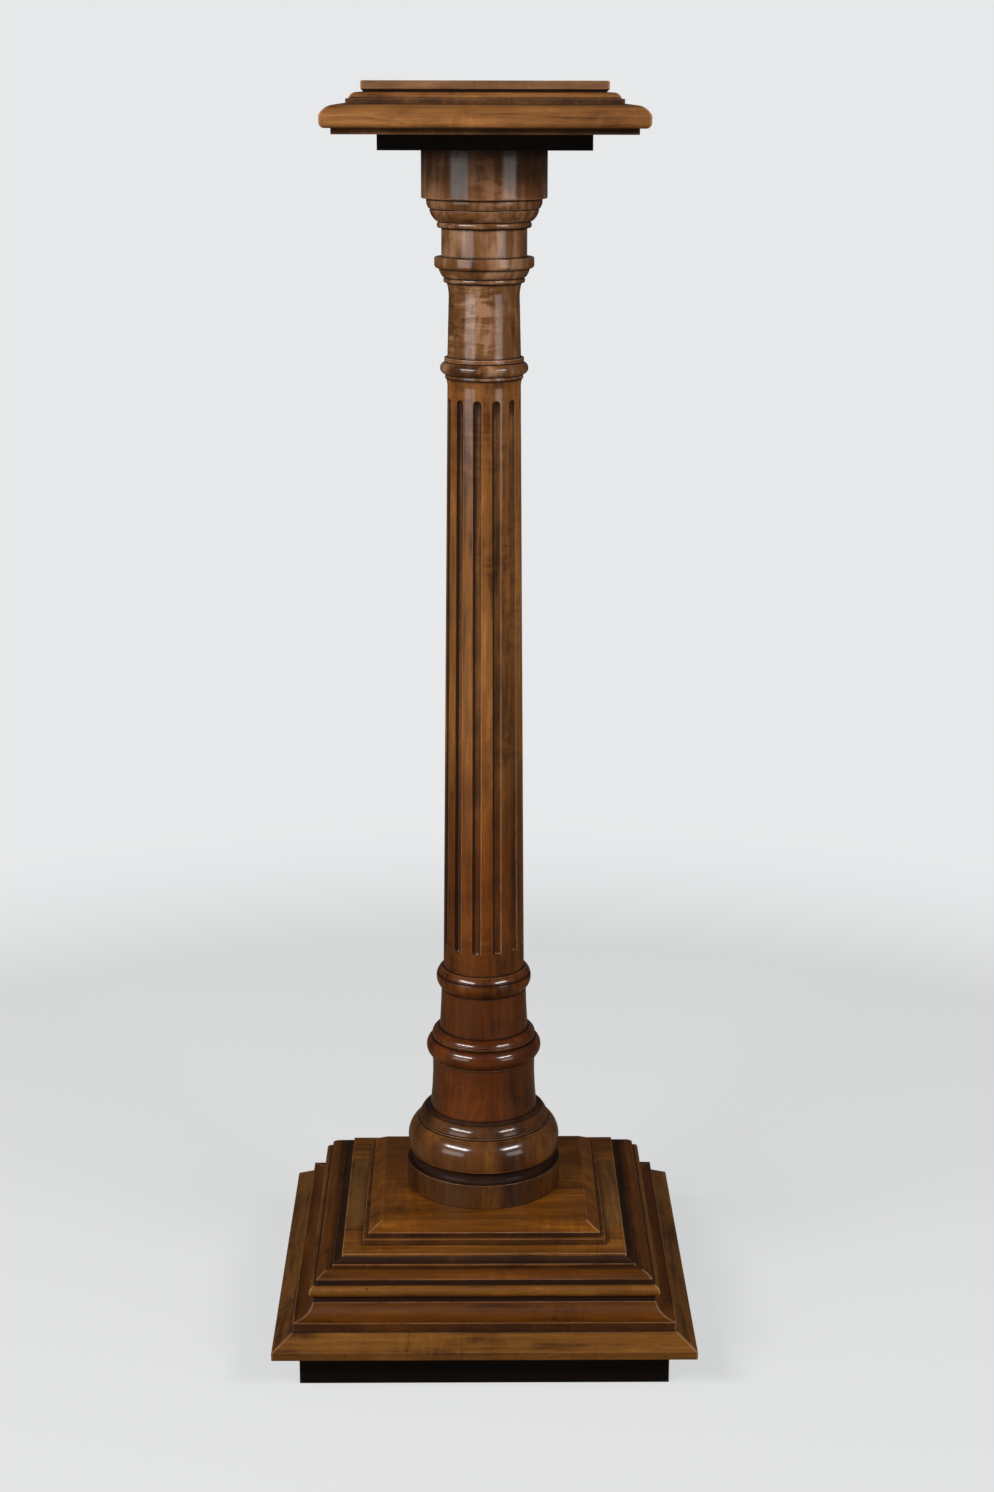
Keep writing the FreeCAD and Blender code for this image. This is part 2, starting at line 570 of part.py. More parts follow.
def fluted_shaft(foot):
    """Tapered shaft with its foot bead, twelve stopped flutes and the cove at its top."""
    ring_top = foot + SHAFT_RING_HEIGHT
    members = climb((SHAFT_RING_RADIUS, foot), (0, SHAFT_RING_HEIGHT, SHAFT_RING_BULGE),
                    (SHAFT_FOOT_RADIUS - SHAFT_RING_RADIUS, 0),
                    (SHAFT_TOP_RADIUS - SHAFT_FOOT_RADIUS, SHAFT_LENGTH),
                    (SHAFT_COVE_RADIUS - SHAFT_TOP_RADIUS, SHAFT_COVE_HEIGHT, -SHAFT_COVE_HOLLOW))
    shaft, top = turned_section(members)
    half = SHAFT_RING_HEIGHT / 2
    bead_round = (half ** 2 + SHAFT_RING_BULGE ** 2) / (2 * SHAFT_RING_BULGE)
    line_rise = SHAFT_RING_LINE_HEIGHT - half
    line_radius = (SHAFT_RING_RADIUS + SHAFT_RING_BULGE - bead_round
                   + math.sqrt(bead_round ** 2 - line_rise ** 2))
    line = Part.makeTorus(line_radius, SHAFT_RING_LINE_DEPTH,
                          FreeCAD.Vector(0, 0, foot + SHAFT_RING_LINE_HEIGHT))
    cutter = flute_cutter(ring_top)
    cutters = [line]
    for index in range(FLUTE_COUNT):
        copy = cutter.copy()
        copy.rotate(ORIGIN, UP, FLUTE_FIRST_ANGLE + index * FULL_TURN / FLUTE_COUNT)
        cutters.append(copy)
    return cut_all(shaft, cutters), top


def neck(foot):
    """Neck with the ring of fillet, bead and fillet at its foot."""
    members = climb((NECK_FILLET_RADIUS, foot), (0, NECK_FILLET_HEIGHT),
                    *quirk(NECK_FILLET_RADIUS, NECK_BEAD_RADIUS),
                    (0, NECK_BEAD_HEIGHT, NECK_BEAD_BULGE),
                    *quirk(NECK_BEAD_RADIUS, NECK_UPPER_FILLET_RADIUS),
                    (0, NECK_UPPER_FILLET_HEIGHT), (NECK_FOOT_RADIUS - NECK_UPPER_FILLET_RADIUS, 0),
                    (NECK_WAIST_RADIUS - NECK_FOOT_RADIUS, NECK_LENGTH),
                    (NECK_FLARE_RADIUS - NECK_WAIST_RADIUS, NECK_FLARE_HEIGHT, -NECK_FLARE_HOLLOW))
    return turned_section(members)


def collar(foot):
    """Small bead, taper and flat band, with the plain neck above them."""
    upper_round, lower_round = COLLAR_BAND_ROUND, COLLAR_BAND_LOWER_ROUND
    band_face = COLLAR_BAND_HEIGHT - upper_round - lower_round
    taper_run = COLLAR_TAPER_TOP_RADIUS - COLLAR_TAPER_FOOT_RADIUS
    members = climb((COLLAR_BEAD_RADIUS, foot), (0, COLLAR_BEAD_HEIGHT, COLLAR_BEAD_BULGE),
                    (COLLAR_TAPER_FOOT_RADIUS - COLLAR_BEAD_RADIUS, QUIRK_HEIGHT),
                    (taper_run, COLLAR_TAPER_HEIGHT, COLLAR_TAPER_BULGE),
                    (COLLAR_BAND_RADIUS - lower_round - COLLAR_TAPER_TOP_RADIUS, 0),
                    (lower_round, lower_round, round_bow(lower_round)), (0, band_face),
                    (-upper_round, upper_round, round_bow(upper_round)),
                    (COLLAR_NECK_RADIUS - COLLAR_BAND_RADIUS + upper_round, 0),
                    (0, COLLAR_NECK_HEIGHT))
    return turned_section(members)


def capital(foot):
    """Astragal, echinus, annulet and drum, with a short spigot up into the under board."""
    members = climb((ASTRAGAL_RADIUS, foot), (0, ASTRAGAL_HEIGHT, ASTRAGAL_BULGE),
                    *quirk(ASTRAGAL_RADIUS, ECHINUS_FOOT_RADIUS),
                    (ECHINUS_TOP_RADIUS - ECHINUS_FOOT_RADIUS, ECHINUS_HEIGHT, ECHINUS_BULGE),
                    *quirk(ECHINUS_TOP_RADIUS, ANNULET_FOOT_RADIUS),
                    (ANNULET_TOP_RADIUS - ANNULET_FOOT_RADIUS, ANNULET_HEIGHT, ANNULET_BULGE),
                    (DRUM_RADIUS - ARRIS_ROUND - ANNULET_TOP_RADIUS, 0),
                    (ARRIS_ROUND, ARRIS_ROUND, round_bow(ARRIS_ROUND)), (0, DRUM_HEIGHT - ARRIS_ROUND))
    top = members[-1][1]
    cap_top = top + CAP_SPIGOT_LENGTH
    cap_spigot = [(SPIGOT_RADIUS, top), (SPIGOT_RADIUS, cap_top), (0, cap_top)]
    body = turned(spigot_outline(foot, SPIGOT_RADIUS, SPIGOT_LENGTH) + members + cap_spigot)
    return cut_all(body, capital_screw_places(screw_hole(CAPITAL_SCREW_LENGTH), top)), top


def capital_screw_places(shape, seat):
    """Four copies of a screw or its hole, pointing down through the under board into the capital."""
    return at_corners(shape, CAPITAL_SCREW_SPACING, seat + UNDER_BOARD_THICKNESS, True)


# ---------------------------------------------------------------- top
def top_screw_places(shape, seat):
    """Four copies of a screw or its hole, pointing up through the under board into the main board."""
    return at_corners(shape, TOP_SCREW_SPACING, seat)


def under_board(foot):
    """Black board on the capital, and the level of its top."""
    holes = top_screw_places(screw_hole(TOP_SCREW_LENGTH), foot)
    holes += capital_screw_places(screw_hole(CAPITAL_SCREW_LENGTH), foot)
    holes.append(Part.makeCylinder(SPIGOT_RADIUS + SPIGOT_FIT, CAP_SPIGOT_LENGTH + GLUE_GAP,
                                   FreeCAD.Vector(0, 0, foot)))
    board = square_board(UNDER_BOARD_WIDTH, foot, UNDER_BOARD_THICKNESS)
    return cut_all(board, holes), foot + UNDER_BOARD_THICKNESS


def main_top_board(foot):
    """Broad moulded board with a fillet, a round nose and a thumb round, and the level of its top."""
    half, fillet_half, soft = MAIN_BOARD_WIDTH / 2, MAIN_FILLET_WIDTH / 2, MAIN_LOWER_ROUND
    edge = climb((fillet_half, foot), (0, MAIN_FILLET_HEIGHT), (half - soft - fillet_half, 0),
                 (soft, soft, round_bow(soft)), (0, MAIN_NOSE_HEIGHT),
                 (-MAIN_THUMB_RUN, MAIN_THUMB_RISE, MAIN_THUMB_BULGE))
    holes = top_screw_places(screw_hole(TOP_SCREW_LENGTH), foot - UNDER_BOARD_THICKNESS)
    return cut_all(moulded_board(edge), holes), edge[-1][1]


def middle_top_board(foot):
    """Board with an upright face and an ovolo, and the level of its top."""
    edge = climb((MIDDLE_HALF, foot), (0, MIDDLE_FACE_HEIGHT), (-MIDDLE_LEDGE, 0),
                 (-MIDDLE_OVOLO_RUN, MIDDLE_OVOLO_RISE, MIDDLE_OVOLO_BULGE))
    return moulded_board(edge), edge[-1][1]


def upper_top_board(foot):
    """Flat board that things stand on, with a sunk line under its edge, and the level of its top."""
    edge = climb((UPPER_HALF - UPPER_HOLLOW_DEPTH, foot), (UPPER_HOLLOW_DEPTH, UPPER_HOLLOW_HEIGHT),
                 (0, UPPER_EDGE_HEIGHT - UPPER_EDGE_ROUND),
                 (-UPPER_EDGE_ROUND, UPPER_EDGE_ROUND, round_bow(UPPER_EDGE_ROUND)))
    return moulded_board(edge), edge[-1][1]


def screws(seat):
    """Wood screws, one group for each place."""
    groups = {"plinth_block_screws": block_screw_places(wood_screw(BLOCK_SCREW_LENGTH)),
              "core_screws": at_corners(wood_screw(CORE_SCREW_LENGTH), CORE_SCREW_SPACING, SLAB_Z),
              "top_board_screws": top_screw_places(wood_screw(TOP_SCREW_LENGTH), seat),
              "capital_screws": capital_screw_places(wood_screw(CAPITAL_SCREW_LENGTH), seat)}
    return {name: Part.makeCompound(group) for name, group in groups.items()}


# ---------------------------------------------------------------- the whole stand
def stacked(builders, level):
    """Pieces built one on top of the other from a level, and the level that the last one ends at."""
    pieces = {}
    for build in builders:
        pieces[build.__name__], level = build(level)
    return pieces, level


def build_stand():
    """Every piece of the stand, by node name."""
    pieces = {}
    pieces.update(plinth_rails())
    pieces.update(glue_blocks())
    pieces.update(slab_mouldings())
    pieces.update(cove_mouldings())
    pieces.update(bead_mouldings())
    pieces.update(step_mouldings())
    pieces.update(core_boards())
    pieces.update(frame_members())
    pieces.update(raised_panel())
    column = [column_foot, lower_drum, upper_drum, fluted_shaft, neck, collar, capital]
    sections, seat = stacked(column, COLUMN_Z)
    boards = stacked([under_board, main_top_board, middle_top_board, upper_top_board], seat)[0]
    pieces.update(sections)
    pieces.update(boards)
    pieces.update(screws(seat))
    return pieces


os.makedirs("parts", exist_ok=True)
for node, shape in build_stand().items():
    shape.exportStep(f"parts/{node}.step")
    box = shape.optimalBoundingBox()
    print(f"{node:24s} solids {len(shape.Solids)} valid {shape.isValid()} volume {shape.Volume:10.0f} "
          f"z {box.ZMin:7.1f} to {box.ZMax:7.1f}")
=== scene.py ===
"""Pedestal column stand: black plinth, stepped and moulded square base, turned column and square top."""
import json
import logging
import math
from collections.abc import Callable
from dataclasses import dataclass, field
from enum import Enum
from functools import cache
from itertools import pairwise

import bpy
import numpy as np
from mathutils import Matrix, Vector


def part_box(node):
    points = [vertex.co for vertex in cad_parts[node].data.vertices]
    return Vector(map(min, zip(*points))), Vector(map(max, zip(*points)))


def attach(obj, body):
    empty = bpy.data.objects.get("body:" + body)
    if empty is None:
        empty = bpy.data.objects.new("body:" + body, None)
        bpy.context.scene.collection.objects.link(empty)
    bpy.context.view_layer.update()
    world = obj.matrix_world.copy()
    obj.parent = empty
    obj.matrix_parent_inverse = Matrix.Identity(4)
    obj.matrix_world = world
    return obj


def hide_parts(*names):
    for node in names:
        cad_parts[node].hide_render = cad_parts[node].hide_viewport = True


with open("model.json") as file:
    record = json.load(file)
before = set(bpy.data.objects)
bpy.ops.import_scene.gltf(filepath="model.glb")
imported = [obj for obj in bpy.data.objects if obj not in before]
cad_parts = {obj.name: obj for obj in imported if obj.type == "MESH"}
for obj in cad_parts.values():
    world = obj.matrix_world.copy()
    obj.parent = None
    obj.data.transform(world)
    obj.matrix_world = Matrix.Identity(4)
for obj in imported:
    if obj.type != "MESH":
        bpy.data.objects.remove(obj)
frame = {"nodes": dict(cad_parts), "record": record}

Piece, Material = bpy.types.Object, bpy.types.Material
NodeTree, Node, Socket = bpy.types.NodeTree, bpy.types.Node, bpy.types.NodeSocket
Point = tuple[float, float]
Span = tuple[float, float]
Place = tuple[float, float, float]
Colour = tuple[float, float, float, float]

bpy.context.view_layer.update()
BODY = "root"
log = logging.getLogger("pedestal")

SIDES = {"front": 0, "right": 1, "back": 2, "left": 3}
QUARTER_TURN = math.pi / 2
QUARTER_BOW = 1 - math.sqrt(0.5)  # how far a quarter round of radius 1 swells beyond its chord
ARRIS, RECESS, HIP = "arris", "recess", "hip"
BASE_SEED, TOP_SEED, COLUMN_SEED = 1, 31, 51


def top_of(node: str) -> float:
    """Height of the highest point of a CAD node."""
    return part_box(node)[1].z


# ---------------------------------------------------------------- outlines
class Plan(Enum):
    """Shape of a piece seen from above."""

    ROUND = "round"
    SQUARE = "square"

    def reach(self, x: float, y: float) -> float:
        """Distance of a point from the column's axis, as this plan measures it."""
        return math.hypot(x, y) if self is Plan.ROUND else max(abs(x), abs(y))


@dataclass(frozen=True)
class Run:
    """One stretch of an outline, as a move on from where the last one ended.

    bow is how far the stretch swells beyond its chord, and a negative bow hollows it.
    The darkening field gives how much wax and dirt lies all along it, and on a few runs painted shade; rub is
    how much it is rubbed.
    """

    out: float
    rise: float
    bow: float = 0.0
    dirt: float = 0.0
    rub: float = 0.0


@dataclass(frozen=True)
class Station:
    """One point of a finished outline, with how much of a rubbed arris it is and how much dirt and painted shade
    darken it.

    hip is 0 on a level stretch and 1 where a square piece's corners stand up as hips.
    """

    out: float
    height: float
    arris: float = 0.0
    recess: float = 0.0
    hip: float = 1.0


@dataclass(frozen=True)
class Corner:
    """A place where an outline turns sharply: positive turns stick out, negative turns are recesses."""

    along: float
    turn: float


@dataclass(frozen=True)
class Stretch:
    """A run's place along the path."""

    low: float
    high: float
    run: Run


@dataclass
class Outline:
    """Outline of a turned or moulded piece, going up its outside from its foot.

    seams are the points where the piece meets its neighbours, and wear scales the wear of all its arrises.
    soft is how far from a sharp arris its rounding starts. No two stations are closer than soft over
    spacing_parts, and a run counts as near within soft over edge_parts. turn_weight is the weight of a square
    turn's wear and dirt before it is limited to 1.
    """

    start: Point
    runs: list[Run]
    seams: tuple[Point, ...] = ()
    wear: float = 1.0
    soft: float = 0.0005
    soft_share: float = 0.5
    spacing_parts: int = 6
    edge_parts: int = 10
    turn_weight: float = 1.3
    arc_step: float = math.radians(9)
    fewest_steps: int = 3
    corner_turn: float = math.radians(18)
    wear_reach: float = 0.0010
    grime_reach: float = 0.0014

    def run_points(self, first: Vector, run: Run) -> list[Vector]:
        """Points along one run, after its first.

        Args:
            first: Where the run starts.
            run: The run.

        Returns:
            The points that the run goes through, its end last.
        """
        last = first + Vector((run.out, run.rise))
        chord = last - first
        if run.bow == 0 or chord.length == 0:
            return [last]
        half, bow = chord.length / 2, abs(run.bow)
        radius = (half * half + bow * bow) / (2 * bow)
        sweep = 2 * math.atan2(half, radius - bow)
        side = Vector((chord.y, -chord.x)).normalized() * math.copysign(1, run.bow)
        centre = (first + last) / 2 + side * (bow - radius)
        count = max(self.fewest_steps, math.ceil(sweep / self.arc_step))
        spoke = first - centre
        turn = math.copysign(sweep / count, run.bow)
        points = []
        for index in range(1, count + 1):
            cos, sin = math.cos(turn * index), math.sin(turn * index)
            points.append(centre + Vector((spoke.x * cos - spoke.y * sin, spoke.x * sin + spoke.y * cos)))
        return points

    def path(self) -> list[Vector]:
        """Every point of the outline before its arrises are softened."""
        points = [Vector(self.start)]
        for run in self.runs:
            points += self.run_points(points[-1], run)
        return points

    def end(self) -> Point:
        """Where the last run ends."""
        out, height = self.start
        return (out + sum(run.out for run in self.runs), height + sum(run.rise for run in self.runs))

    def stretches(self) -> list[Stretch]:
        """Place of every run along the path."""
        found, first, along = [], Vector(self.start), 0.0
        for run in self.runs:
            points = [first, *self.run_points(first, run)]
            length = sum((here - before).length for before, here in pairwise(points))
            found.append(Stretch(along, along + length, run))
            first, along = points[-1], along + length
        return found

    def corners(self, points: list[Vector]) -> list[Corner]:
        """Sharp turns of a path.

        Args:
            points: The path.

        Returns:
            A corner for each turn sharper than corner_turn, with its distance along the path.
        """
        found, along = [], 0.0
        for before, here, after in zip(points, points[1:], points[2:]):
            along += (here - before).length
            first, second = here - before, after - here
            turn = math.atan2(first.x * second.y - first.y * second.x, first.dot(second))
            if abs(turn) > self.corner_turn:
                found.append(Corner(along, turn))
        return found

    def marks(self, points: list[Vector], corners: list[Corner]) -> list[float]:
        """Distances along the path at which stations are wanted: its points, and near its corners and ends."""
        wanted, along = [0.0], 0.0
        for before, here in pairwise(points):
            along += (here - before).length
            wanted.append(along)
        total = along
        offsets = (self.soft, self.soft / 2, self.wear_reach, self.grime_reach, 2 * self.grime_reach)
        for place in [0.0, total, *(corner.along for corner in corners)]:
            wanted += [place + sign * offset for offset in offsets for sign in (-1, 1)]
        wanted = sorted(mark for mark in wanted if 0 <= mark <= total)
        kept = [wanted[0]]
        for mark in wanted[1:]:
            if mark - kept[-1] > self.soft / self.spacing_parts:
                kept.append(mark)
        kept[-1] = total
        return kept

    def at(self, points: list[Vector], along: float) -> Vector:
        """Point of a path at a distance along it."""
        for before, here in pairwise(points):
            length = (here - before).length
            if along <= length and length > 0:
                return before.lerp(here, max(0.0, along / length))
            along -= length
        return points[-1].copy()

    def softened(self, points: list[Vector], corners: list[Corner], along: float) -> Vector:
        """Point of the path at a distance along it, drawn in where a sharp arris is worn round."""
        here = self.at(points, along)
        for corner in corners:
            gap = abs(along - corner.along)
            if corner.turn > 0 and gap < self.soft:
                before, after = (self.at(points, corner.along + sign * self.soft) for sign in (-1, 1))
                here = here.lerp((before + after) / 2, self.soft_share * (1 - gap / self.soft))
        return here

    def seam_at(self, here: Vector) -> float:
        """How close a point is to a seam: 1 on it, and next to nothing a few millimetres away."""
        gaps = [(here - Vector(seam)).length for seam in self.seams]
        return max((math.exp(-gap / self.grime_reach) for gap in gaps), default=0.0)

    def stations(self) -> list[Station]:
        """Finished outline with its arrises softened and its wear and grime marked."""
        points = self.path()
        corners, stretches = self.corners(points), self.stretches()
        edge = self.soft / self.edge_parts
        found = []
        for along in self.marks(points, corners):
            here = self.softened(points, corners, along)
            runs = [each.run for each in stretches if each.low - edge <= along <= each.high + edge]
            arris = sum(run.rub for run in runs) / len(runs)
            recess = sum(run.dirt for run in runs) / len(runs)
            for corner in corners:
                gap = abs(along - corner.along)
                weight = min(1.0, abs(corner.turn) / QUARTER_TURN * self.turn_weight)
                if corner.turn > 0:
                    arris = max(arris, weight * math.exp(-(gap / self.wear_reach) ** 2))
                else:
                    recess = max(recess, weight * math.exp(-gap / self.grime_reach))
            seam = self.seam_at(here)
            hip = float(any(run.rise for run in runs))
            found.append(Station(here.x, here.y, self.wear * arris * (1 - seam), max(recess, seam), hip))
        return found


# ---------------------------------------------------------------- modelling
class Bench:
    """Modelling steps that every piece goes through, done with the usual mesh operators."""

    round_sides = 160
    merge_distance = 1e-6
    smooth_angle = math.radians(38)

    @staticmethod
    def clear() -> None:
        """Nothing selected, in object mode."""
        if bpy.context.object and bpy.context.object.mode != "OBJECT":
            bpy.ops.object.mode_set(mode="OBJECT")
        bpy.ops.object.select_all(action="DESELECT")

    @classmethod
    def pick(cls, piece: Piece) -> None:
        """Nothing but one piece selected and active, in object mode."""
        cls.clear()
        bpy.context.view_layer.objects.active = piece
        piece.select_set(True)

    @staticmethod
    def begin(name: str) -> Piece:
        """Name the primitive that was just added and open it in edit mode, all selected.

        Args:
            name: The piece's name.

        Returns:
            The piece.
        """
        piece = bpy.context.object
        piece.name = piece.data.name = f"{name}_piece"
        bpy.ops.object.mode_set(mode="EDIT")
        bpy.ops.mesh.select_all(action="SELECT")
        return piece

    @classmethod
    def finish(cls, piece: Piece) -> Piece:
        """Merge a piece's doubles, point its faces outwards, smooth it and put its object at the origin.

        Args:
            piece: The piece, in edit mode.

        Returns:
            The same piece, in object mode.
        """
        bpy.ops.mesh.select_all(action="SELECT")
        bpy.ops.mesh.remove_doubles(threshold=cls.merge_distance)
        bpy.ops.mesh.normals_make_consistent(inside=False)
        bpy.ops.object.mode_set(mode="OBJECT")
        bpy.ops.object.transform_apply(location=True, rotation=True, scale=True)
        bpy.ops.object.shade_smooth_by_angle(angle=cls.smooth_angle)
        return piece

    @classmethod
    def solid(cls, name: str, stations: list[Station], plan: Plan) -> Piece:
        """Turned piece or square board, from a face extruded up its outline about the column's axis.

        Args:
            name: The piece's name.
            stations: Its outline.
            plan: Its shape seen from above.

        Returns:
            The piece.
        """
        cls.clear()
        first = stations[0]
        place = (0, 0, first.height)
        if plan is Plan.ROUND:
            bpy.ops.mesh.primitive_circle_add(vertices=cls.round_sides, radius=first.out, fill_type="NGON",
                                              location=place)
        else:
            bpy.ops.mesh.primitive_plane_add(size=2 * first.out, location=place)
        piece = cls.begin(name)
        for last, here in pairwise(stations):
            rise = (0, 0, here.height - last.height)
            bpy.ops.mesh.extrude_region_move(TRANSFORM_OT_translate={"value": rise})
            grow = here.out / last.out
            bpy.ops.transform.resize(value=(grow, grow, 1), center_override=(0, 0, here.height))
        return cls.finish(piece)

    @staticmethod
    def select_where(piece: Piece, test: Callable[[Vector], bool]) -> None:
        """Select the vertices that pass a test on their place, in the column's frame, and nothing else."""
        bpy.ops.mesh.select_mode(type="VERT")
        bpy.ops.mesh.select_all(action="DESELECT")
        bpy.ops.object.mode_set(mode="OBJECT")
        for vertex in piece.data.vertices:
            vertex.select = test(piece.matrix_world @ vertex.co)
        bpy.ops.object.mode_set(mode="EDIT")

    @classmethod
    def length(cls, name: str, stations: list[Station], back: float) -> Piece:
        """Front length of a mitred moulding, from its underside extruded up its face and closed.

        Args:
            name: The piece's name.
            stations: The outline of its face.
            back: Distance of its back from the column's axis.

        Returns:
            The piece.
        """
        cls.clear()
        first, last = stations[0], stations[-1]
        bpy.ops.mesh.primitive_plane_add(size=2 * back, location=(0, 0, first.height))
        piece = cls.begin(name)
        bpy.ops.transform.resize(value=(1, (first.out - back) / (2 * back), 1))
        bpy.ops.transform.translate(value=(0, -(first.out + back) / 2, 0))
        near = -(first.out + back) / 2
        cls.select_where(piece, lambda place: place.y < near)
        bpy.ops.transform.resize(value=(first.out / back, 1, 1), center_override=(0, 0, 0))
        for before, here in pairwise(stations + [Station(back, last.height)]):
            step = (0, before.out - here.out, here.height - before.height)
            bpy.ops.mesh.extrude_region_move(TRANSFORM_OT_translate={"value": step})
            bpy.ops.transform.resize(value=(here.out / before.out, 1, 1), center_override=(0, 0, 0))
        shallow = cls.merge_distance - back
        cls.select_where(piece, lambda place: place.y > shallow - 2 * cls.merge_distance)
        bpy.ops.mesh.edge_face_add()
        for sign in (-1, 1):
            cls.select_where(piece, lambda place: sign * place.x > 0)
            bpy.ops.mesh.edge_face_add()
        return cls.finish(piece)

    @classmethod
    def keep_beyond(cls, piece: Piece, place: Vector, way: Vector) -> None:
        """Cut a piece with a plane, keep what lies beyond it and close the cut."""
        cls.pick(piece)
        bpy.ops.object.mode_set(mode="EDIT")
        bpy.ops.mesh.select_all(action="SELECT")
        bpy.ops.mesh.bisect(plane_co=place, plane_no=way, use_fill=True, clear_inner=True)
        cls.finish(piece)

    @classmethod
    def copy(cls, piece: Piece, name: str, quarters: int) -> Piece:
        """Copy of a piece with its own mesh, turned about the column's axis by quarter turns."""
        twin = piece.copy()
        twin.data = piece.data.copy()
        twin.name = twin.data.name = f"{name}_piece"
        bpy.context.collection.objects.link(twin)
        twin.rotation_euler.z = quarters * QUARTER_TURN
        cls.pick(twin)
        bpy.ops.object.transform_apply(location=True, rotation=True, scale=True)
        return twin

    @staticmethod
    def mark_wear_dirt_and_shade(piece: Piece, stations: list[Station], plan: Plan) -> None:
        """Give every vertex the arris wear, and the darkening of dirt and painted shade, of the nearest station
        of its piece's outline.
        """
        mesh = piece.data
        places = np.array([(plan.reach(v.co.x, v.co.y), v.co.z) for v in mesh.vertices])
        outline = np.array([(s.out, s.height) for s in stations])
        gaps = ((places[:, None, :] - outline[None, :, :]) ** 2).sum(axis=2)
        nearest = gaps.argmin(axis=1)
        for name in (ARRIS, RECESS, HIP):
            values = np.array([getattr(station, name) for station in stations])
            mask = mesh.attributes.new(name, "FLOAT", "POINT")
            mask.data.foreach_set("value", values[nearest])

    @classmethod
    def cut(cls, piece: Piece, tool: Piece) -> None:
        """Cut a tool's shape out of a piece, and remove the tool."""
        modifier = piece.modifiers.new("cut", "BOOLEAN")
        modifier.operation = "DIFFERENCE"
        modifier.solver = "EXACT"
        modifier.object = tool
        cls.pick(piece)
        bpy.ops.object.modifier_apply(modifier=modifier.name)
        bpy.data.objects.remove(tool)


# ---------------------------------------------------------------- finishes
class Grain(Enum):
    """Which way the timber of a piece runs, as the rotation that brings its grain upright."""

    ALONG_X = (0, QUARTER_TURN, 0)
    ALONG_Y = (QUARTER_TURN, 0, 0)
    ALONG_Z = (0, 0, 0)


class Corners(Enum):
    """What the corners of a piece are."""

    ROUND = "none, the piece is turned"
    SOLID = "worked in one board"
    MITRED = "joints between lengths of moulding"


@dataclass(frozen=True)
class Pattern:
    """Noise of one kind. stretch multiplies each axis first, and a small share draws the noise out along it."""

    scale: float
    detail: float = 2.0
    rough: float = 0.5
    distortion: float = 0.0
    stretch: Place | None = None


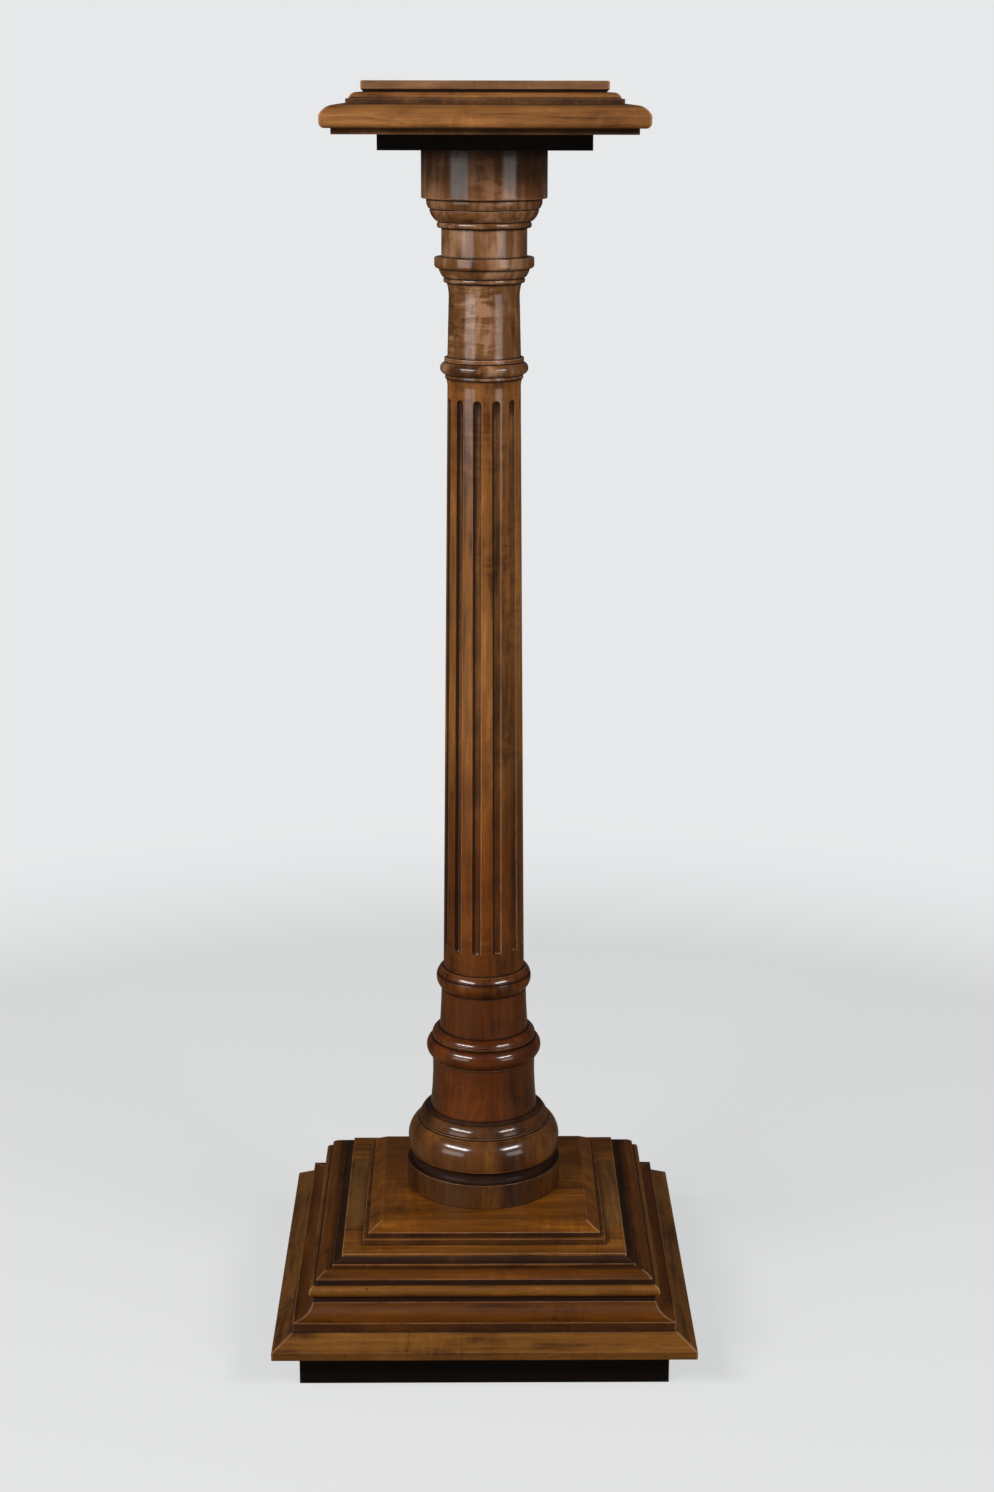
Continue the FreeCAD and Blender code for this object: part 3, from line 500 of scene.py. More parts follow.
class Tree:
    """Short ways to add shader nodes and join them."""

    mix_inputs = (0, 6, 7)
    mix_output = 2
    average = 0.5

    def __init__(self, tree: NodeTree) -> None:
        """Work in a node tree."""
        self.tree = tree

    def add(self, kind: str, **settings) -> Node:
        """New node with some of its settings."""
        node = self.tree.nodes.new(kind)
        for name, value in settings.items():
            setattr(node, name, value)
        return node

    def feed(self, socket: Socket, value) -> None:
        """Give an input a constant or join it to an output."""
        if isinstance(value, Socket):
            self.tree.links.new(value, socket)
        elif value is not None:
            socket.default_value = value

    def fill(self, node: Node, **values) -> Node:
        """Feed a node's inputs by name; an underscore in a name stands for a space."""
        for name, value in values.items():
            self.feed(node.inputs[name.replace("_", " ")], value)
        return node

    def math(self, operation: str, first, second=None, clamp: bool = False) -> Socket:
        """Output of a math node."""
        node = self.add("ShaderNodeMath", operation=operation, use_clamp=clamp)
        self.feed(node.inputs[0], first)
        self.feed(node.inputs[1], second)
        return node.outputs[0]

    def plus(self, first, second) -> Socket:
        """Sum of two values."""
        return self.math("ADD", first, second)

    def minus(self, first, second) -> Socket:
        """Difference of two values."""
        return self.math("SUBTRACT", first, second)

    def times(self, first, second) -> Socket:
        """Product of two values."""
        return self.math("MULTIPLY", first, second)

    def most(self, first, second) -> Socket:
        """Larger of two values."""
        return self.math("MAXIMUM", first, second)

    def size(self, value) -> Socket:
        """Value without its sign."""
        return self.math("ABSOLUTE", value)

    def vector(self, operation: str, first, second=None) -> Node:
        """Vector math node."""
        node = self.add("ShaderNodeVectorMath", operation=operation)
        self.feed(node.inputs[0], first)
        self.feed(node.inputs[1], second)
        return node

    def length(self, vector: Socket, flat: bool = False) -> Socket:
        """Length of a vector, or of its shadow on the floor."""
        if flat:
            vector = self.vector("MULTIPLY", vector, (1, 1, 0)).outputs[0]
        return self.vector("LENGTH", vector).outputs["Value"]

    def axes(self, vector: Socket) -> tuple[Socket, ...]:
        """X, Y and Z of a vector."""
        return tuple(self.fill(self.add("ShaderNodeSeparateXYZ"), Vector=vector).outputs)

    def place(self) -> Socket:
        """Place on the piece, in its own coordinates."""
        return self.add("ShaderNodeTexCoord").outputs["Object"]

    def seen(self) -> Socket:
        """1 where the camera looks, 0 for light and reflections."""
        return self.add("ShaderNodeLightPath").outputs["Is Camera Ray"]

    def attribute(self, name: str) -> Socket:
        """Mask that is stored on the piece's vertices."""
        return self.add("ShaderNodeAttribute", attribute_name=name).outputs["Fac"]

    def noise(self, vector: Socket, pattern: Pattern) -> Socket:
        """Value of a noise texture, about 0.5 on average."""
        if pattern.stretch:
            vector = self.vector("MULTIPLY", vector, pattern.stretch).outputs[0]
        node = self.fill(self.add("ShaderNodeTexNoise"), Vector=vector, Scale=pattern.scale,
                         Detail=pattern.detail, Roughness=pattern.rough, Distortion=pattern.distortion)
        return node.outputs[0]

    def between(self, value, low: float, high: float) -> Socket:
        """0 below low, 1 above high and smooth between them; turned round where low is the larger."""
        node = self.add("ShaderNodeMapRange", interpolation_type="SMOOTHSTEP", clamp=True)
        flip = low > high
        self.fill(node, Value=value, From_Min=min(low, high), From_Max=max(low, high), To_Min=float(flip),
                  To_Max=float(not flip))
        return node.outputs["Result"]

    def blend(self, factor, first, second, mode: str = "MIX") -> Socket:
        """Colour between two colours."""
        node = self.add("ShaderNodeMix", data_type="RGBA", blend_type=mode)
        for index, value in zip(self.mix_inputs, (factor, first, second)):
            self.feed(node.inputs[index], value)
        return node.outputs[self.mix_output]

    def swing(self, noise: Socket, amount) -> Socket:
        """A noise's departure from its average, times an amount."""
        return self.times(self.minus(noise, self.average), amount)

    def bump(self, shader: Node, height: Socket, strength: float, distance: float) -> None:
        """Let a height show on a shader."""
        bump = self.fill(self.add("ShaderNodeBump"), Strength=strength, Distance=distance, Height=height)
        self.feed(shader.inputs["Normal"], bump.outputs["Normal"])

    def use(self, kind: "type[Group]", **inputs) -> Node:
        """Node of a shared group, with its inputs fed by name."""
        return self.fill(self.add("ShaderNodeGroup", node_tree=shared(kind)), **inputs)


class Group(Tree):
    """Node group that more than one material uses. inputs and outputs name its sockets, by kind."""

    kinds = {"float": "NodeSocketFloat", "colour": "NodeSocketColor", "vector": "NodeSocketVector"}
    name: str
    inputs: dict[str, str]
    outputs: dict[str, str]

    def __init__(self) -> None:
        """Make the group's sockets and build what joins them."""
        super().__init__(bpy.data.node_groups.new(self.name, "ShaderNodeTree"))
        for way, sockets in (("INPUT", self.inputs), ("OUTPUT", self.outputs)):
            for kind, names in sockets.items():
                for name in names.split():
                    self.tree.interface.new_socket(name, in_out=way, socket_type=self.kinds[kind])
        self.give = self.add("NodeGroupInput").outputs
        results = self.build(self.give["Vector"])
        self.fill(self.add("NodeGroupOutput"), **results)

    def build(self, place: Socket) -> dict[str, Socket]:
        """Add the group's nodes.

        Args:
            place: The group's vector input.

        Returns:
            What goes to each of its outputs.
        """
        raise NotImplementedError


@cache
def shared(kind: type[Group]) -> NodeTree:
    """Node group of a kind, built on first use."""
    return kind().tree


class Timber(Group):
    """Walnut with its grain along Z: broad streaks, fine lines, pores, cross figure and blotches."""

    name = "walnut_timber"
    inputs = {"vector": "Vector", "colour": "Light Mid Dark", "float": "Streaks Figure Blotches"}
    outputs = {"colour": "Color", "float": "Height"}
    wander = Pattern(16, stretch=(1, 1, 0.3))
    sway_x, sway_y = 0.030, -0.022
    broad = Pattern(34, 3, 0.55, stretch=(1, 1, 0.05))
    fine = Pattern(190, 4, 0.6, stretch=(1, 1, 0.05))
    pore = Pattern(1100, stretch=(1, 1, 0.045))
    ripple = Pattern(150, distortion=0.8, stretch=(0.28, 0.28, 1))
    patch = Pattern(13, 1)
    blotch = Pattern(22, 3, 0.6, 0.6, (1, 1, 0.6))
    broad_swing, fine_swing, blotch_swing = 1.5, 1.1, 1.4
    pore_span, patch_span = (0.58, 0.70), (0.42, 0.62)
    dark_span, light_span = (0.12, 0.52), (0.50, 0.90)
    pore_shade = 0.45
    fine_height = 0.5

    def build(self, place: Socket) -> dict[str, Socket]:
        """Timber's colour and height."""
        give = self.give
        wander = self.noise(place, self.wander)
        sway = self.fill(self.add("ShaderNodeCombineXYZ"), X=self.swing(wander, self.sway_x),
                         Y=self.swing(wander, self.sway_y))
        bent = self.vector("ADD", place, sway.outputs[0]).outputs[0]
        fine = self.noise(bent, self.fine)
        pores = self.between(self.noise(bent, self.pore), *self.pore_span)
        patches = self.between(self.noise(place, self.patch), *self.patch_span)
        tone = self.average
        for noise, amount, strength in (
                (self.noise(bent, self.broad), self.broad_swing, give["Streaks"]),
                (fine, self.fine_swing, give["Streaks"]),
                (self.noise(bent, self.ripple), patches, give["Figure"]),
                (self.noise(place, self.blotch), self.blotch_swing, give["Blotches"])):
            tone = self.plus(tone, self.times(self.swing(noise, amount), strength))
        colour = self.blend(self.between(tone, *self.dark_span), give["Dark"], give["Mid"])
        colour = self.blend(self.between(tone, *self.light_span), colour, give["Light"])
        colour = self.blend(self.times(pores, self.pore_shade), colour, give["Dark"])
        return {"Color": colour, "Height": self.minus(self.times(fine, self.fine_height), pores)}


class PatinaAndPaintedLight(Group):
    """Handling: rubbed arrises and painted highlights, wax, dirt and painted shade in recesses, some wormholes
    and small dents.
    """

    name = "patina"
    inputs = {"vector": "Vector", "colour": "Color Worn Grime", "float": "Arris Recess Wear Dirt Holes"}
    outputs = {"colour": "Color", "float": "Grime Height"}
    rub, least_rub, wear_span = Pattern(38, 4, 0.65), 0.08, (0.14, 0.66)
    settle, least_dirt, dirt_span = Pattern(21, 4, 0.7), 0.35, (0.10, 0.74)
    speckle, speckle_swing = Pattern(420, 2, 0.6), 0.22
    cells, hole_share, hole_edge, hole_depth = 85, (0.985, 0.99), (0.085, 0.055), 3
    dent, dent_span, dent_depth = Pattern(130, 1), (0.66, 0.78), 0.5

    def build(self, place: Socket) -> dict[str, Socket]:
        """Colour with wear, painted highlight, dirt and painted shade on it, the mask of dirt and painted shade,
        and the height of holes and dents.
        """
        give = self.give
        # the arris mask holds the flutes' painted highlight as well as wear
        wear = self.times(give["Arris"], self.plus(self.least_rub, self.noise(place, self.rub)))
        wear = self.times(self.between(wear, *self.wear_span), give["Wear"])
        # the recess mask holds painted shade as well as wax and dirt
        dirt = self.times(give["Recess"], self.plus(self.least_dirt, self.noise(place, self.settle)))
        dirt = self.plus(dirt, self.swing(self.noise(place, self.speckle), self.speckle_swing))
        dirt = self.math("MULTIPLY", self.between(dirt, *self.dirt_span), give["Dirt"], clamp=True)
        cells = self.fill(self.add("ShaderNodeTexVoronoi"), Vector=place, Scale=self.cells)
        lot = self.fill(self.add("ShaderNodeSeparateColor"), Color=cells.outputs["Color"]).outputs[0]
        chosen = self.between(self.plus(lot, give["Holes"]), *self.hole_share)
        hole = self.times(self.between(cells.outputs["Distance"], *self.hole_edge), chosen)
        dent = self.between(self.noise(place, self.dent), *self.dent_span)
        grime = self.most(dirt, hole)
        colour = self.blend(grime, self.blend(wear, give["Color"], give["Worn"]), give["Grime"])
        deep = self.plus(self.times(hole, self.hole_depth), self.times(dent, self.dent_depth))
        return {"Color": colour, "Grime": grime, "Height": self.times(deep, -1)}


class Mitre(Group):
    """Masks for where a square's sides meet: the hip that gets rubbed, and the joint's thin line."""

    name = "mitre"
    inputs = {"vector": "Vector"}
    outputs = {"float": "Hip Joint"}
    hip_span, joint_span = (0.0030, 0.0004), (0.0005, 0.0002)

    def build(self, place: Socket) -> dict[str, Socket]:
        """The two masks."""
        x, y, _ = self.axes(place)
        off = self.size(self.minus(self.size(x), self.size(y)))
        return {"Hip": self.between(off, *self.hip_span), "Joint": self.between(off, *self.joint_span)}


def new_material(name: str) -> tuple[Material, Tree, Node]:
    """Material of a name, with the tree to work in and its shader."""
    material = bpy.data.materials.new(name)
    material.use_nodes = True
    return material, Tree(material.node_tree), material.node_tree.nodes["Principled BSDF"]


@dataclass(frozen=True)
class Walnut:
    """Polished walnut finish of one part of the stand."""

    light: Colour
    mid: Colour
    dark: Colour
    # colour of rubbed arrises, also painted as a highlight on the flutes' lit edges
    worn: Colour = (0.40, 0.20, 0.095, 1)
    # dark colour of wax and dirt, also painted as shade
    grime: Colour = (0.012, 0.005, 0.003, 1)
    streaks: float = 0.8
    figure: float = 0.5
    blotches: float = 0.5
    # scales rubbed arrises and the flutes' painted highlight
    wear: float = 0.6
    # strength of the darkening by wax, dirt and painted shade
    dirt: float = 0.9
    holes: float = 0.0
    roughness: float = 0.38
    specular: float = 0.12
    coat: float = 0.8
    coat_roughness: float = 0.14
    joint_dirt: float = 0.7
    grime_and_shade_roughness: float = 0.3
    polish: Pattern = Pattern(70, 3)
    polish_swing: float = 0.12
    timber_height: float = 0.25
    bump_strength: float = 0.35
    bump_distance: float = 0.00025
    seed_step: Place = (0.37, 0.71, 0.53)

    def material(self, name: str, grain: Grain, seed: int, corners: Corners) -> Material:
        """Material for one piece.

        Args:
            name: The piece's name.
            grain: Which way its timber runs.
            seed: Number that picks its own stretch of timber.
            corners: What its corners are.

        Returns:
            The material.
        """
        material, tree, shader = new_material(f"{name}_walnut")
        place = tree.place()
        timber = tree.use(Timber, Vector=self.mapped(tree, place, grain, seed), Light=self.light,
                          Mid=self.mid, Dark=self.dark, Streaks=self.streaks, Figure=self.figure,
                          Blotches=self.blotches)
        arris, recess = tree.attribute(ARRIS), tree.attribute(RECESS)
        if corners is not Corners.ROUND:
            mitre = tree.use(Mitre, Vector=place)
            arris = tree.most(arris, tree.times(mitre.outputs["Hip"], tree.attribute(HIP)))
            if corners is Corners.MITRED:
                recess = tree.most(recess, tree.times(mitre.outputs["Joint"], self.joint_dirt))
        arris, recess = self.carving(tree, place, arris, recess)
        patina = tree.use(PatinaAndPaintedLight, Vector=place, Color=self.tinted(tree, place, timber.outputs["Color"]),
                          Arris=arris, Recess=recess, Worn=self.worn, Grime=self.grime, Wear=self.wear,
                          Dirt=self.dirt, Holes=self.holes)
        grime = patina.outputs["Grime"]
        rough = tree.plus(self.roughness, tree.times(grime, self.grime_and_shade_roughness))
        rough = tree.plus(rough, tree.swing(tree.noise(place, self.polish), self.polish_swing))
        coat = tree.times(tree.minus(1.0, grime), self.coat)
        tree.fill(shader, Base_Color=patina.outputs["Color"], Roughness=rough, Coat_Weight=coat,
                  Coat_Roughness=self.coat_roughness, Specular_IOR_Level=self.specular)
        height = tree.times(timber.outputs["Height"], self.timber_height)
        height = tree.plus(height, patina.outputs["Height"])
        tree.bump(shader, height, self.bump_strength, self.bump_distance)
        return material

    def mapped(self, tree: Tree, place: Socket, grain: Grain, seed: int) -> Socket:
        """Place in the timber: the piece's own coordinates with the grain brought upright."""
        offset = tuple(step * seed for step in self.seed_step)
        mapping = tree.add("ShaderNodeMapping")
        tree.fill(mapping, Vector=place, Rotation=grain.value, Location=offset)
        return mapping.outputs["Vector"]

    def carving(self, tree: Tree, place: Socket, arris: Socket, recess: Socket) -> tuple[Socket, Socket]:
        """Arris mask and the mask of dirt and painted shade, with any carving added: unchanged, unless a finish
        says otherwise.
        """
        return arris, recess

    def tinted(self, tree: Tree, place: Socket, colour: Socket) -> Socket:
        """Timber's colour with any change of tint over the piece: none, unless a finish says otherwise."""
        return colour


@dataclass(frozen=True)
class Flutes:
    """Where the flutes of the shaft lie, with their rubbed edges, a painted highlight on each lit edge, and dirt
    and painted shade inside them.

    The spans are in metres, apart from wall_span, which is in half widths of a flute.
    """

    first: float
    count: int
    half_width: float
    foot_radius: float
    slope: float
    shaft_foot: float
    low: float
    high: float
    end_span: Span = (0.001, 0.003)
    wall_span: Span = (-0.25, -0.75)
    depth_span: Span = (0.0002, 0.0008)
    head_span: Span = (0.020, 0.004)
    edge_span: Span = (0.0011, 0.0002)
    bed_dirt_and_shade: float = 0.48
    painted_wall_shade: float = 0.52
    painted_head_shade: float = 0.3
    dim_edge: float = 0.45
    lit_edge: float = 0.55

    def masks(self, tree: Tree, place: Socket) -> tuple[Socket, Socket]:
        """Masks of the flutes' edges and of their insides.

        Args:
            tree: The material's tree.
            place: The piece's own coordinates.

        Returns:
            The edge mask and the inside mask.
        """
        x, y, z = tree.axes(place)
        pitch = math.tau / self.count
        skin = tree.plus(tree.times(tree.minus(z, self.shaft_foot), self.slope), self.foot_radius)
        depth = tree.minus(skin, tree.length(place, flat=True))
        before, after = self.end_span
        span = tree.times(tree.between(z, self.low - before, self.low + after),
                          tree.between(z, self.high + before, self.high - after))
        angle = tree.math("ARCTAN2", x, tree.times(y, -1))
        turns = tree.plus(tree.math("DIVIDE", tree.minus(angle, self.first), pitch), 0.5)
        across = tree.times(tree.times(tree.minus(tree.math("FRACT", turns), 0.5), pitch), skin)
        # painted shade: the wall of each flute that faces away from the lamp, and the flute's upper end, are
        # darkened; the rest of the inside is dirt and painted shade
        wall = tree.between(across, *(share * self.half_width for share in self.wall_span))
        shade = tree.plus(self.bed_dirt_and_shade, tree.times(wall, self.painted_wall_shade))
        head = tree.between(z, *(self.high - gap for gap in self.head_span))
        shade = tree.plus(shade, tree.times(head, self.painted_head_shade))
        inside = tree.times(tree.times(tree.between(depth, *self.depth_span), shade), span)
        edge = tree.between(tree.size(tree.minus(tree.size(across), self.half_width)), *self.edge_span)
        # painted highlight: the edge on the lit side of each flute is brightened more than the other
        lit = tree.times(tree.between(across, 0.0, self.half_width), self.lit_edge)
        return tree.times(tree.times(edge, tree.plus(self.dim_edge, lit)), span), inside


@dataclass(frozen=True)
class FlutedWalnut(Walnut):
    """Walnut finish that follows the flutes, rubbed at their edges with a painted highlight on the lit one, dark
    inside with dirt and painted shade, and changes up the shaft.
    """

    flutes: Flutes | None = None
    edge_wear_and_highlight: float = 0.9
    ragged: Pattern = Pattern(14, 3)
    ragged_swing: float = 0.12
    low_tint: Colour = (0.44, 0.29, 0.10, 1)
    low_span: Span = (0.62, 0.44)
    high_tint: Colour = (0.92, 0.90, 0.95, 1)
    high_span: Span = (0.64, 0.86)

    def carving(self, tree: Tree, place: Socket, arris: Socket, recess: Socket) -> tuple[Socket, Socket]:
        """Arris mask with the flutes' rubbed edges and painted highlight, and the mask of dirt and painted shade
        with their insides.
        """
        edge, inside = self.flutes.masks(tree, place)
        return tree.most(arris, tree.times(edge, self.edge_wear_and_highlight)), tree.most(recess, inside)

    def tinted(self, tree: Tree, place: Socket, colour: Socket) -> Socket:
        """Timber's colour, darker and redder down the shaft and greyer up it."""
        _, _, height = tree.axes(place)
        height = tree.plus(height, tree.swing(tree.noise(place, self.ragged), self.ragged_swing))
        for tint, span in ((self.low_tint, self.low_span), (self.high_tint, self.high_span)):
            tinted = tree.blend(1.0, colour, tint, "MULTIPLY")
            colour = tree.blend(tree.between(height, *span), colour, tinted)
        return colour


@dataclass(frozen=True)
class Plain:
    """Plainer finish for black, hidden and metal pieces, with streaks, scuffs and dust."""

    colour: Colour
    streak: Colour
    roughness: float
    streak_scale: Place = (30.0, 400.0, 400.0)
    streak_span: Span = (0.3, 0.7)
    scuff: Colour = (0.10, 0.08, 0.06, 1)
    scuffs: float = 0.5
    scuffing: Pattern = Pattern(160, 4, 0.7)
    scuff_span: Span = (0.63, 0.78)
    hip_scuff: float = 0.6
    cloud: Pattern = Pattern(35, 3)
    cloud_swing: float = 0.25
    metallic: float = 0.0
    specular: float = 0.5
    bump_strength: float = 0.2
    bump_distance: float = 0.0002

    def material(self, name: str) -> Material:
        """Material for one piece."""
        material, tree, shader = new_material(f"{name}_finish")
        place = tree.place()
        streak = tree.noise(place, Pattern(1.0, 4, 0.6, stretch=self.streak_scale))
        scuff = tree.between(tree.noise(place, self.scuffing), *self.scuff_span)
        hip = tree.use(Mitre, Vector=place).outputs["Hip"]
        scuff = tree.most(scuff, tree.times(hip, self.hip_scuff))
        colour = tree.blend(tree.between(streak, *self.streak_span), self.colour, self.streak)
        colour = tree.blend(tree.times(scuff, self.scuffs), colour, self.scuff)
        rough = tree.plus(self.roughness, tree.swing(tree.noise(place, self.cloud), self.cloud_swing))
        tree.fill(shader, Base_Color=colour, Roughness=rough, Metallic=self.metallic,
                  Specular_IOR_Level=self.specular)
        tree.bump(shader, tree.minus(streak, scuff), self.bump_strength, self.bump_distance)
        return material


LIGHT_SHARES, DARK_SHARES = (1.75, 1.85, 2.0), (0.36, 0.31, 0.30)


def shades(*mid: float) -> dict[str, Colour]:
    """Light, middle and dark streaks of timber of this middle colour."""
    found = {"mid": (*mid, 1)}
    for name, shares in (("light", LIGHT_SHARES), ("dark", DARK_SHARES)):
        found[name] = (*(share * part for share, part in zip(shares, mid)), 1)
    return found


DULL = {"coat": 0.3, "coat_roughness": 0.34, "holes": 0.04, "roughness": 0.46}
TOP_WALNUT = Walnut(**shades(0.212, 0.084, 0.0225), streaks=1.0, blotches=0.8, **DULL)
UPPER_BOARD_WALNUT = Walnut(**shades(0.162, 0.077, 0.034), blotches=0.6, coat=0.0, roughness=0.9)
SLAB_WALNUT = Walnut(**shades(0.158, 0.060, 0.0090), **DULL)
BASE_WALNUT = Walnut(**shades(0.097, 0.028, 0.0018), **DULL)
BEAD_WALNUT = Walnut(**shades(0.150, 0.055, 0.0070), **DULL)
FRAME_WALNUT = Walnut(**shades(0.168, 0.058, 0.0075), **DULL)
PANEL_WALNUT = Walnut(**shades(0.132, 0.041, 0.0030), **DULL)
STILE_WALNUT = Walnut(**shades(0.150, 0.062, 0.0130), **DULL)
UPPER_COLUMN_WALNUT = Walnut(light=(0.32, 0.170, 0.092, 1), mid=(0.158, 0.064, 0.021, 1),
                             dark=(0.056, 0.020, 0.006, 1), blotches=1.3, figure=1.4)
CAPITAL_WALNUT = Walnut(light=(0.29, 0.145, 0.075, 1), mid=(0.138, 0.055, 0.017, 1),
                        dark=(0.044, 0.016, 0.005, 1), blotches=1.6, figure=0.9, coat=0.7)
SHAFT_TIMBER = {**shades(0.228, 0.088, 0.020), "figure": 0.6, "streaks": 0.85, "blotches": 0.8}
LOWER_COLUMN_WALNUT = Walnut(**shades(0.078, 0.0160, 0.0006), blotches=0.8, coat=1.0)
FOOT_WALNUT = Walnut(**shades(0.100, 0.033, 0.0055), blotches=0.9, coat=1.0)
BLACK_LACQUER = Plain(colour=(0.0035, 0.0025, 0.0020, 1), streak=(0.007, 0.005, 0.004, 1), roughness=0.5,
                      scuff=(0.030, 0.018, 0.011, 1), scuffs=0.25, specular=0.12)
SOFTWOOD = Plain(colour=(0.56, 0.40, 0.22, 1), streak=(0.68, 0.52, 0.31, 1), roughness=0.75, scuffs=0.25)
STEEL = Plain(colour=(0.40, 0.39, 0.37, 1), streak=(0.52, 0.51, 0.49, 1), roughness=0.38,
              streak_scale=(500.0, 500.0, 90.0), scuff=(0.16, 0.09, 0.05, 1), metallic=1.0)


def dress(piece: Piece, material: Material) -> None:
    """Give a piece one material, in place of any that it has."""
    piece.data.materials.clear()
    piece.data.materials.append(material)


# ---------------------------------------------------------------- base
@dataclass
class Base:
    """Stepped and moulded square base with its framed and raised panel."""

    slab_half: float = 0.1905
    nose_height: float = 0.0080
    nose_round: float = 0.0016
    bevel_run: float = 0.0180
    cove_foot: float = 0.0083
    cove_run: float = 0.0171
    cove_rise: float = 0.0122
    cove_hollow: float = 0.0046
    cove_neck_inset: float = 0.0008
    bead_inset: float = 0.0016
    step_inset: float = 0.0009
    step_riser: float = 0.0045
    ovolo_run: float = 0.0087
    ovolo_bulge: float = 0.0007
    ledge: float = 0.0058
    lip_height: float = 0.0030
    frame_hollow_run: float = 0.0082
    frame_hollow_rise: float = 0.0036
    frame_hollow_depth: float = 0.0016
    rail_width: float = 0.0655
    panel_inset: float = 0.0182
    panel_foot: float = 0.0052
    panel_step: float = 0.0048
    panel_riser: float = 0.0042
    panel_bevel_run: float = 0.0116
    core_inset: float = 0.0250
    made: dict[str, Piece] = field(default_factory=dict)

    def __post_init__(self) -> None:
        """Half widths and levels that follow from the sizes and from the frame."""
        self.cove_foot_half = self.slab_half - self.bevel_run
        self.cove_top_half = self.cove_foot_half - self.cove_run
        self.cove_neck_half = self.cove_top_half - self.cove_neck_inset
        self.bead_half = self.cove_neck_half - self.bead_inset
        self.step_half = self.bead_half - self.step_inset
        self.lip_half = self.step_half - self.ovolo_run - self.ledge
        self.frame_half = self.lip_half - self.frame_hollow_run
        self.opening_half = self.lip_half - self.rail_width
        self.panel_foot_half = self.frame_half - self.panel_inset
        self.core_half = self.lip_half - self.core_inset
        self.slab_z = top_of("plinth_rail_front")
        self.cove_z = top_of("core_board_bottom")
        self.bead_z = top_of("core_board_middle")
        self.step_z = top_of("bead_moulding_front")
        self.frame_z = top_of("core_board_top")
        self.panel_z = top_of("frame_field_board")
        self.column_z = top_of("raised_panel")

    @staticmethod
    def seamed(start: Point, runs: list[Run]) -> Outline:
        """Outline with a seam at each end."""
        outline = Outline(start, runs)
        outline.seams = (start, outline.end())
        return outline

    def slab_outline(self) -> Outline:
        """Nose and bevel of the slab."""
        soft = self.nose_round
        bevel_rise = self.cove_z - self.slab_z - self.nose_height
        runs = [Run(soft, soft, soft * QUARTER_BOW, dirt=0.4), Run(0, self.nose_height - soft, dirt=0.4),
                Run(-self.bevel_run, bevel_rise)]
        outline = Outline((self.slab_half - soft, self.slab_z), runs, wear=0.5)
        outline.seams = (outline.end(),)
        return outline

    def cove_outline(self) -> Outline:
        """Upright foot, hollow and neck."""
        neck = self.bead_z - self.cove_z - self.cove_foot - self.cove_rise
        # the darkening on the upright foot is a painted shadow
        runs = [Run(0, self.cove_foot, dirt=0.55),
                Run(-self.cove_run, self.cove_rise, -self.cove_hollow, dirt=0.2),
                Run(-self.cove_neck_inset, 0), Run(0, neck, dirt=1.0)]
        return self.seamed((self.cove_foot_half, self.cove_z), runs)

    def bead_outline(self) -> Outline:
        """Half-round bead."""
        height = self.step_z - self.bead_z
        return self.seamed((self.bead_half, self.bead_z), [Run(0, height, height / 2, rub=0.22)])

    def step_outline(self) -> Outline:
        """Riser and ovolo."""
        rise = self.frame_z - self.step_z - self.step_riser
        runs = [Run(0, self.step_riser, dirt=0.9), Run(-self.ovolo_run, rise, self.ovolo_bulge, dirt=0.22),
                Run(-self.ledge, 0, dirt=0.45)]
        return self.seamed((self.step_half, self.step_z), runs)

    def frame_outline(self) -> Outline:
        """Lip, hollow and upper edge of the frame."""
        edge = self.panel_z - self.frame_z - self.lip_height - self.frame_hollow_rise
        runs = [Run(0, self.lip_height),
                # the hollow's darkening is wax and dirt together with painted shade
                Run(-self.frame_hollow_run, self.frame_hollow_rise, -self.frame_hollow_depth, dirt=0.9),
                Run(0, edge), Run(-self.panel_inset, 0)]
        return self.seamed((self.lip_half, self.frame_z), runs)

    def panel_outline(self) -> Outline:
        """Low step, riser and bevel of the raised panel."""
        bevel_rise = self.column_z - self.panel_z - self.panel_foot - self.panel_riser
        runs = [Run(0, self.panel_foot, dirt=0.6), Run(-self.panel_step, 0, dirt=0.3),
                Run(0, self.panel_riser, dirt=0.8),
                Run(-self.panel_bevel_run, bevel_rise), Run(-self.panel_bevel_run, 0)]
        foot = (self.panel_foot_half, self.panel_z)
        return Outline(foot, runs, seams=(foot,))

    def build_lengths(self, kind: str, outline: Outline) -> None:
        """Four mitred lengths of one moulding."""
        stations = outline.stations()
        front = Bench.length(f"{kind}_front", stations, self.core_half)
        Bench.mark_wear_dirt_and_shade(front, stations, Plan.SQUARE)
        self.made[f"{kind}_front"] = front
        for side, quarters in SIDES.items():
            if side != "front":
                self.made[f"{kind}_{side}"] = Bench.copy(front, f"{kind}_{side}", quarters)

    def build_frame(self) -> None:
        """Two rails and two stiles, cut from one moulded plate."""
        stations = self.frame_outline().stations()
        front, right, back = Vector((0, -1, 0)), Vector((1, 0, 0)), Vector((0, 1, 0))
        kinds = (("frame_rail", "front", "back", front, ()),
                 ("frame_stile", "right", "left", right, (front, back)))
        for kind, first, second, outward, ends in kinds:
            piece = Bench.solid(f"{kind}_{first}", stations, Plan.SQUARE)
            Bench.keep_beyond(piece, outward * self.opening_half, outward)
            for way in ends:
                Bench.keep_beyond(piece, -way * self.opening_half, way)
            Bench.mark_wear_dirt_and_shade(piece, stations, Plan.SQUARE)
            self.made[f"{kind}_{first}"] = piece
            self.made[f"{kind}_{second}"] = Bench.copy(piece, f"{kind}_{second}", 2)

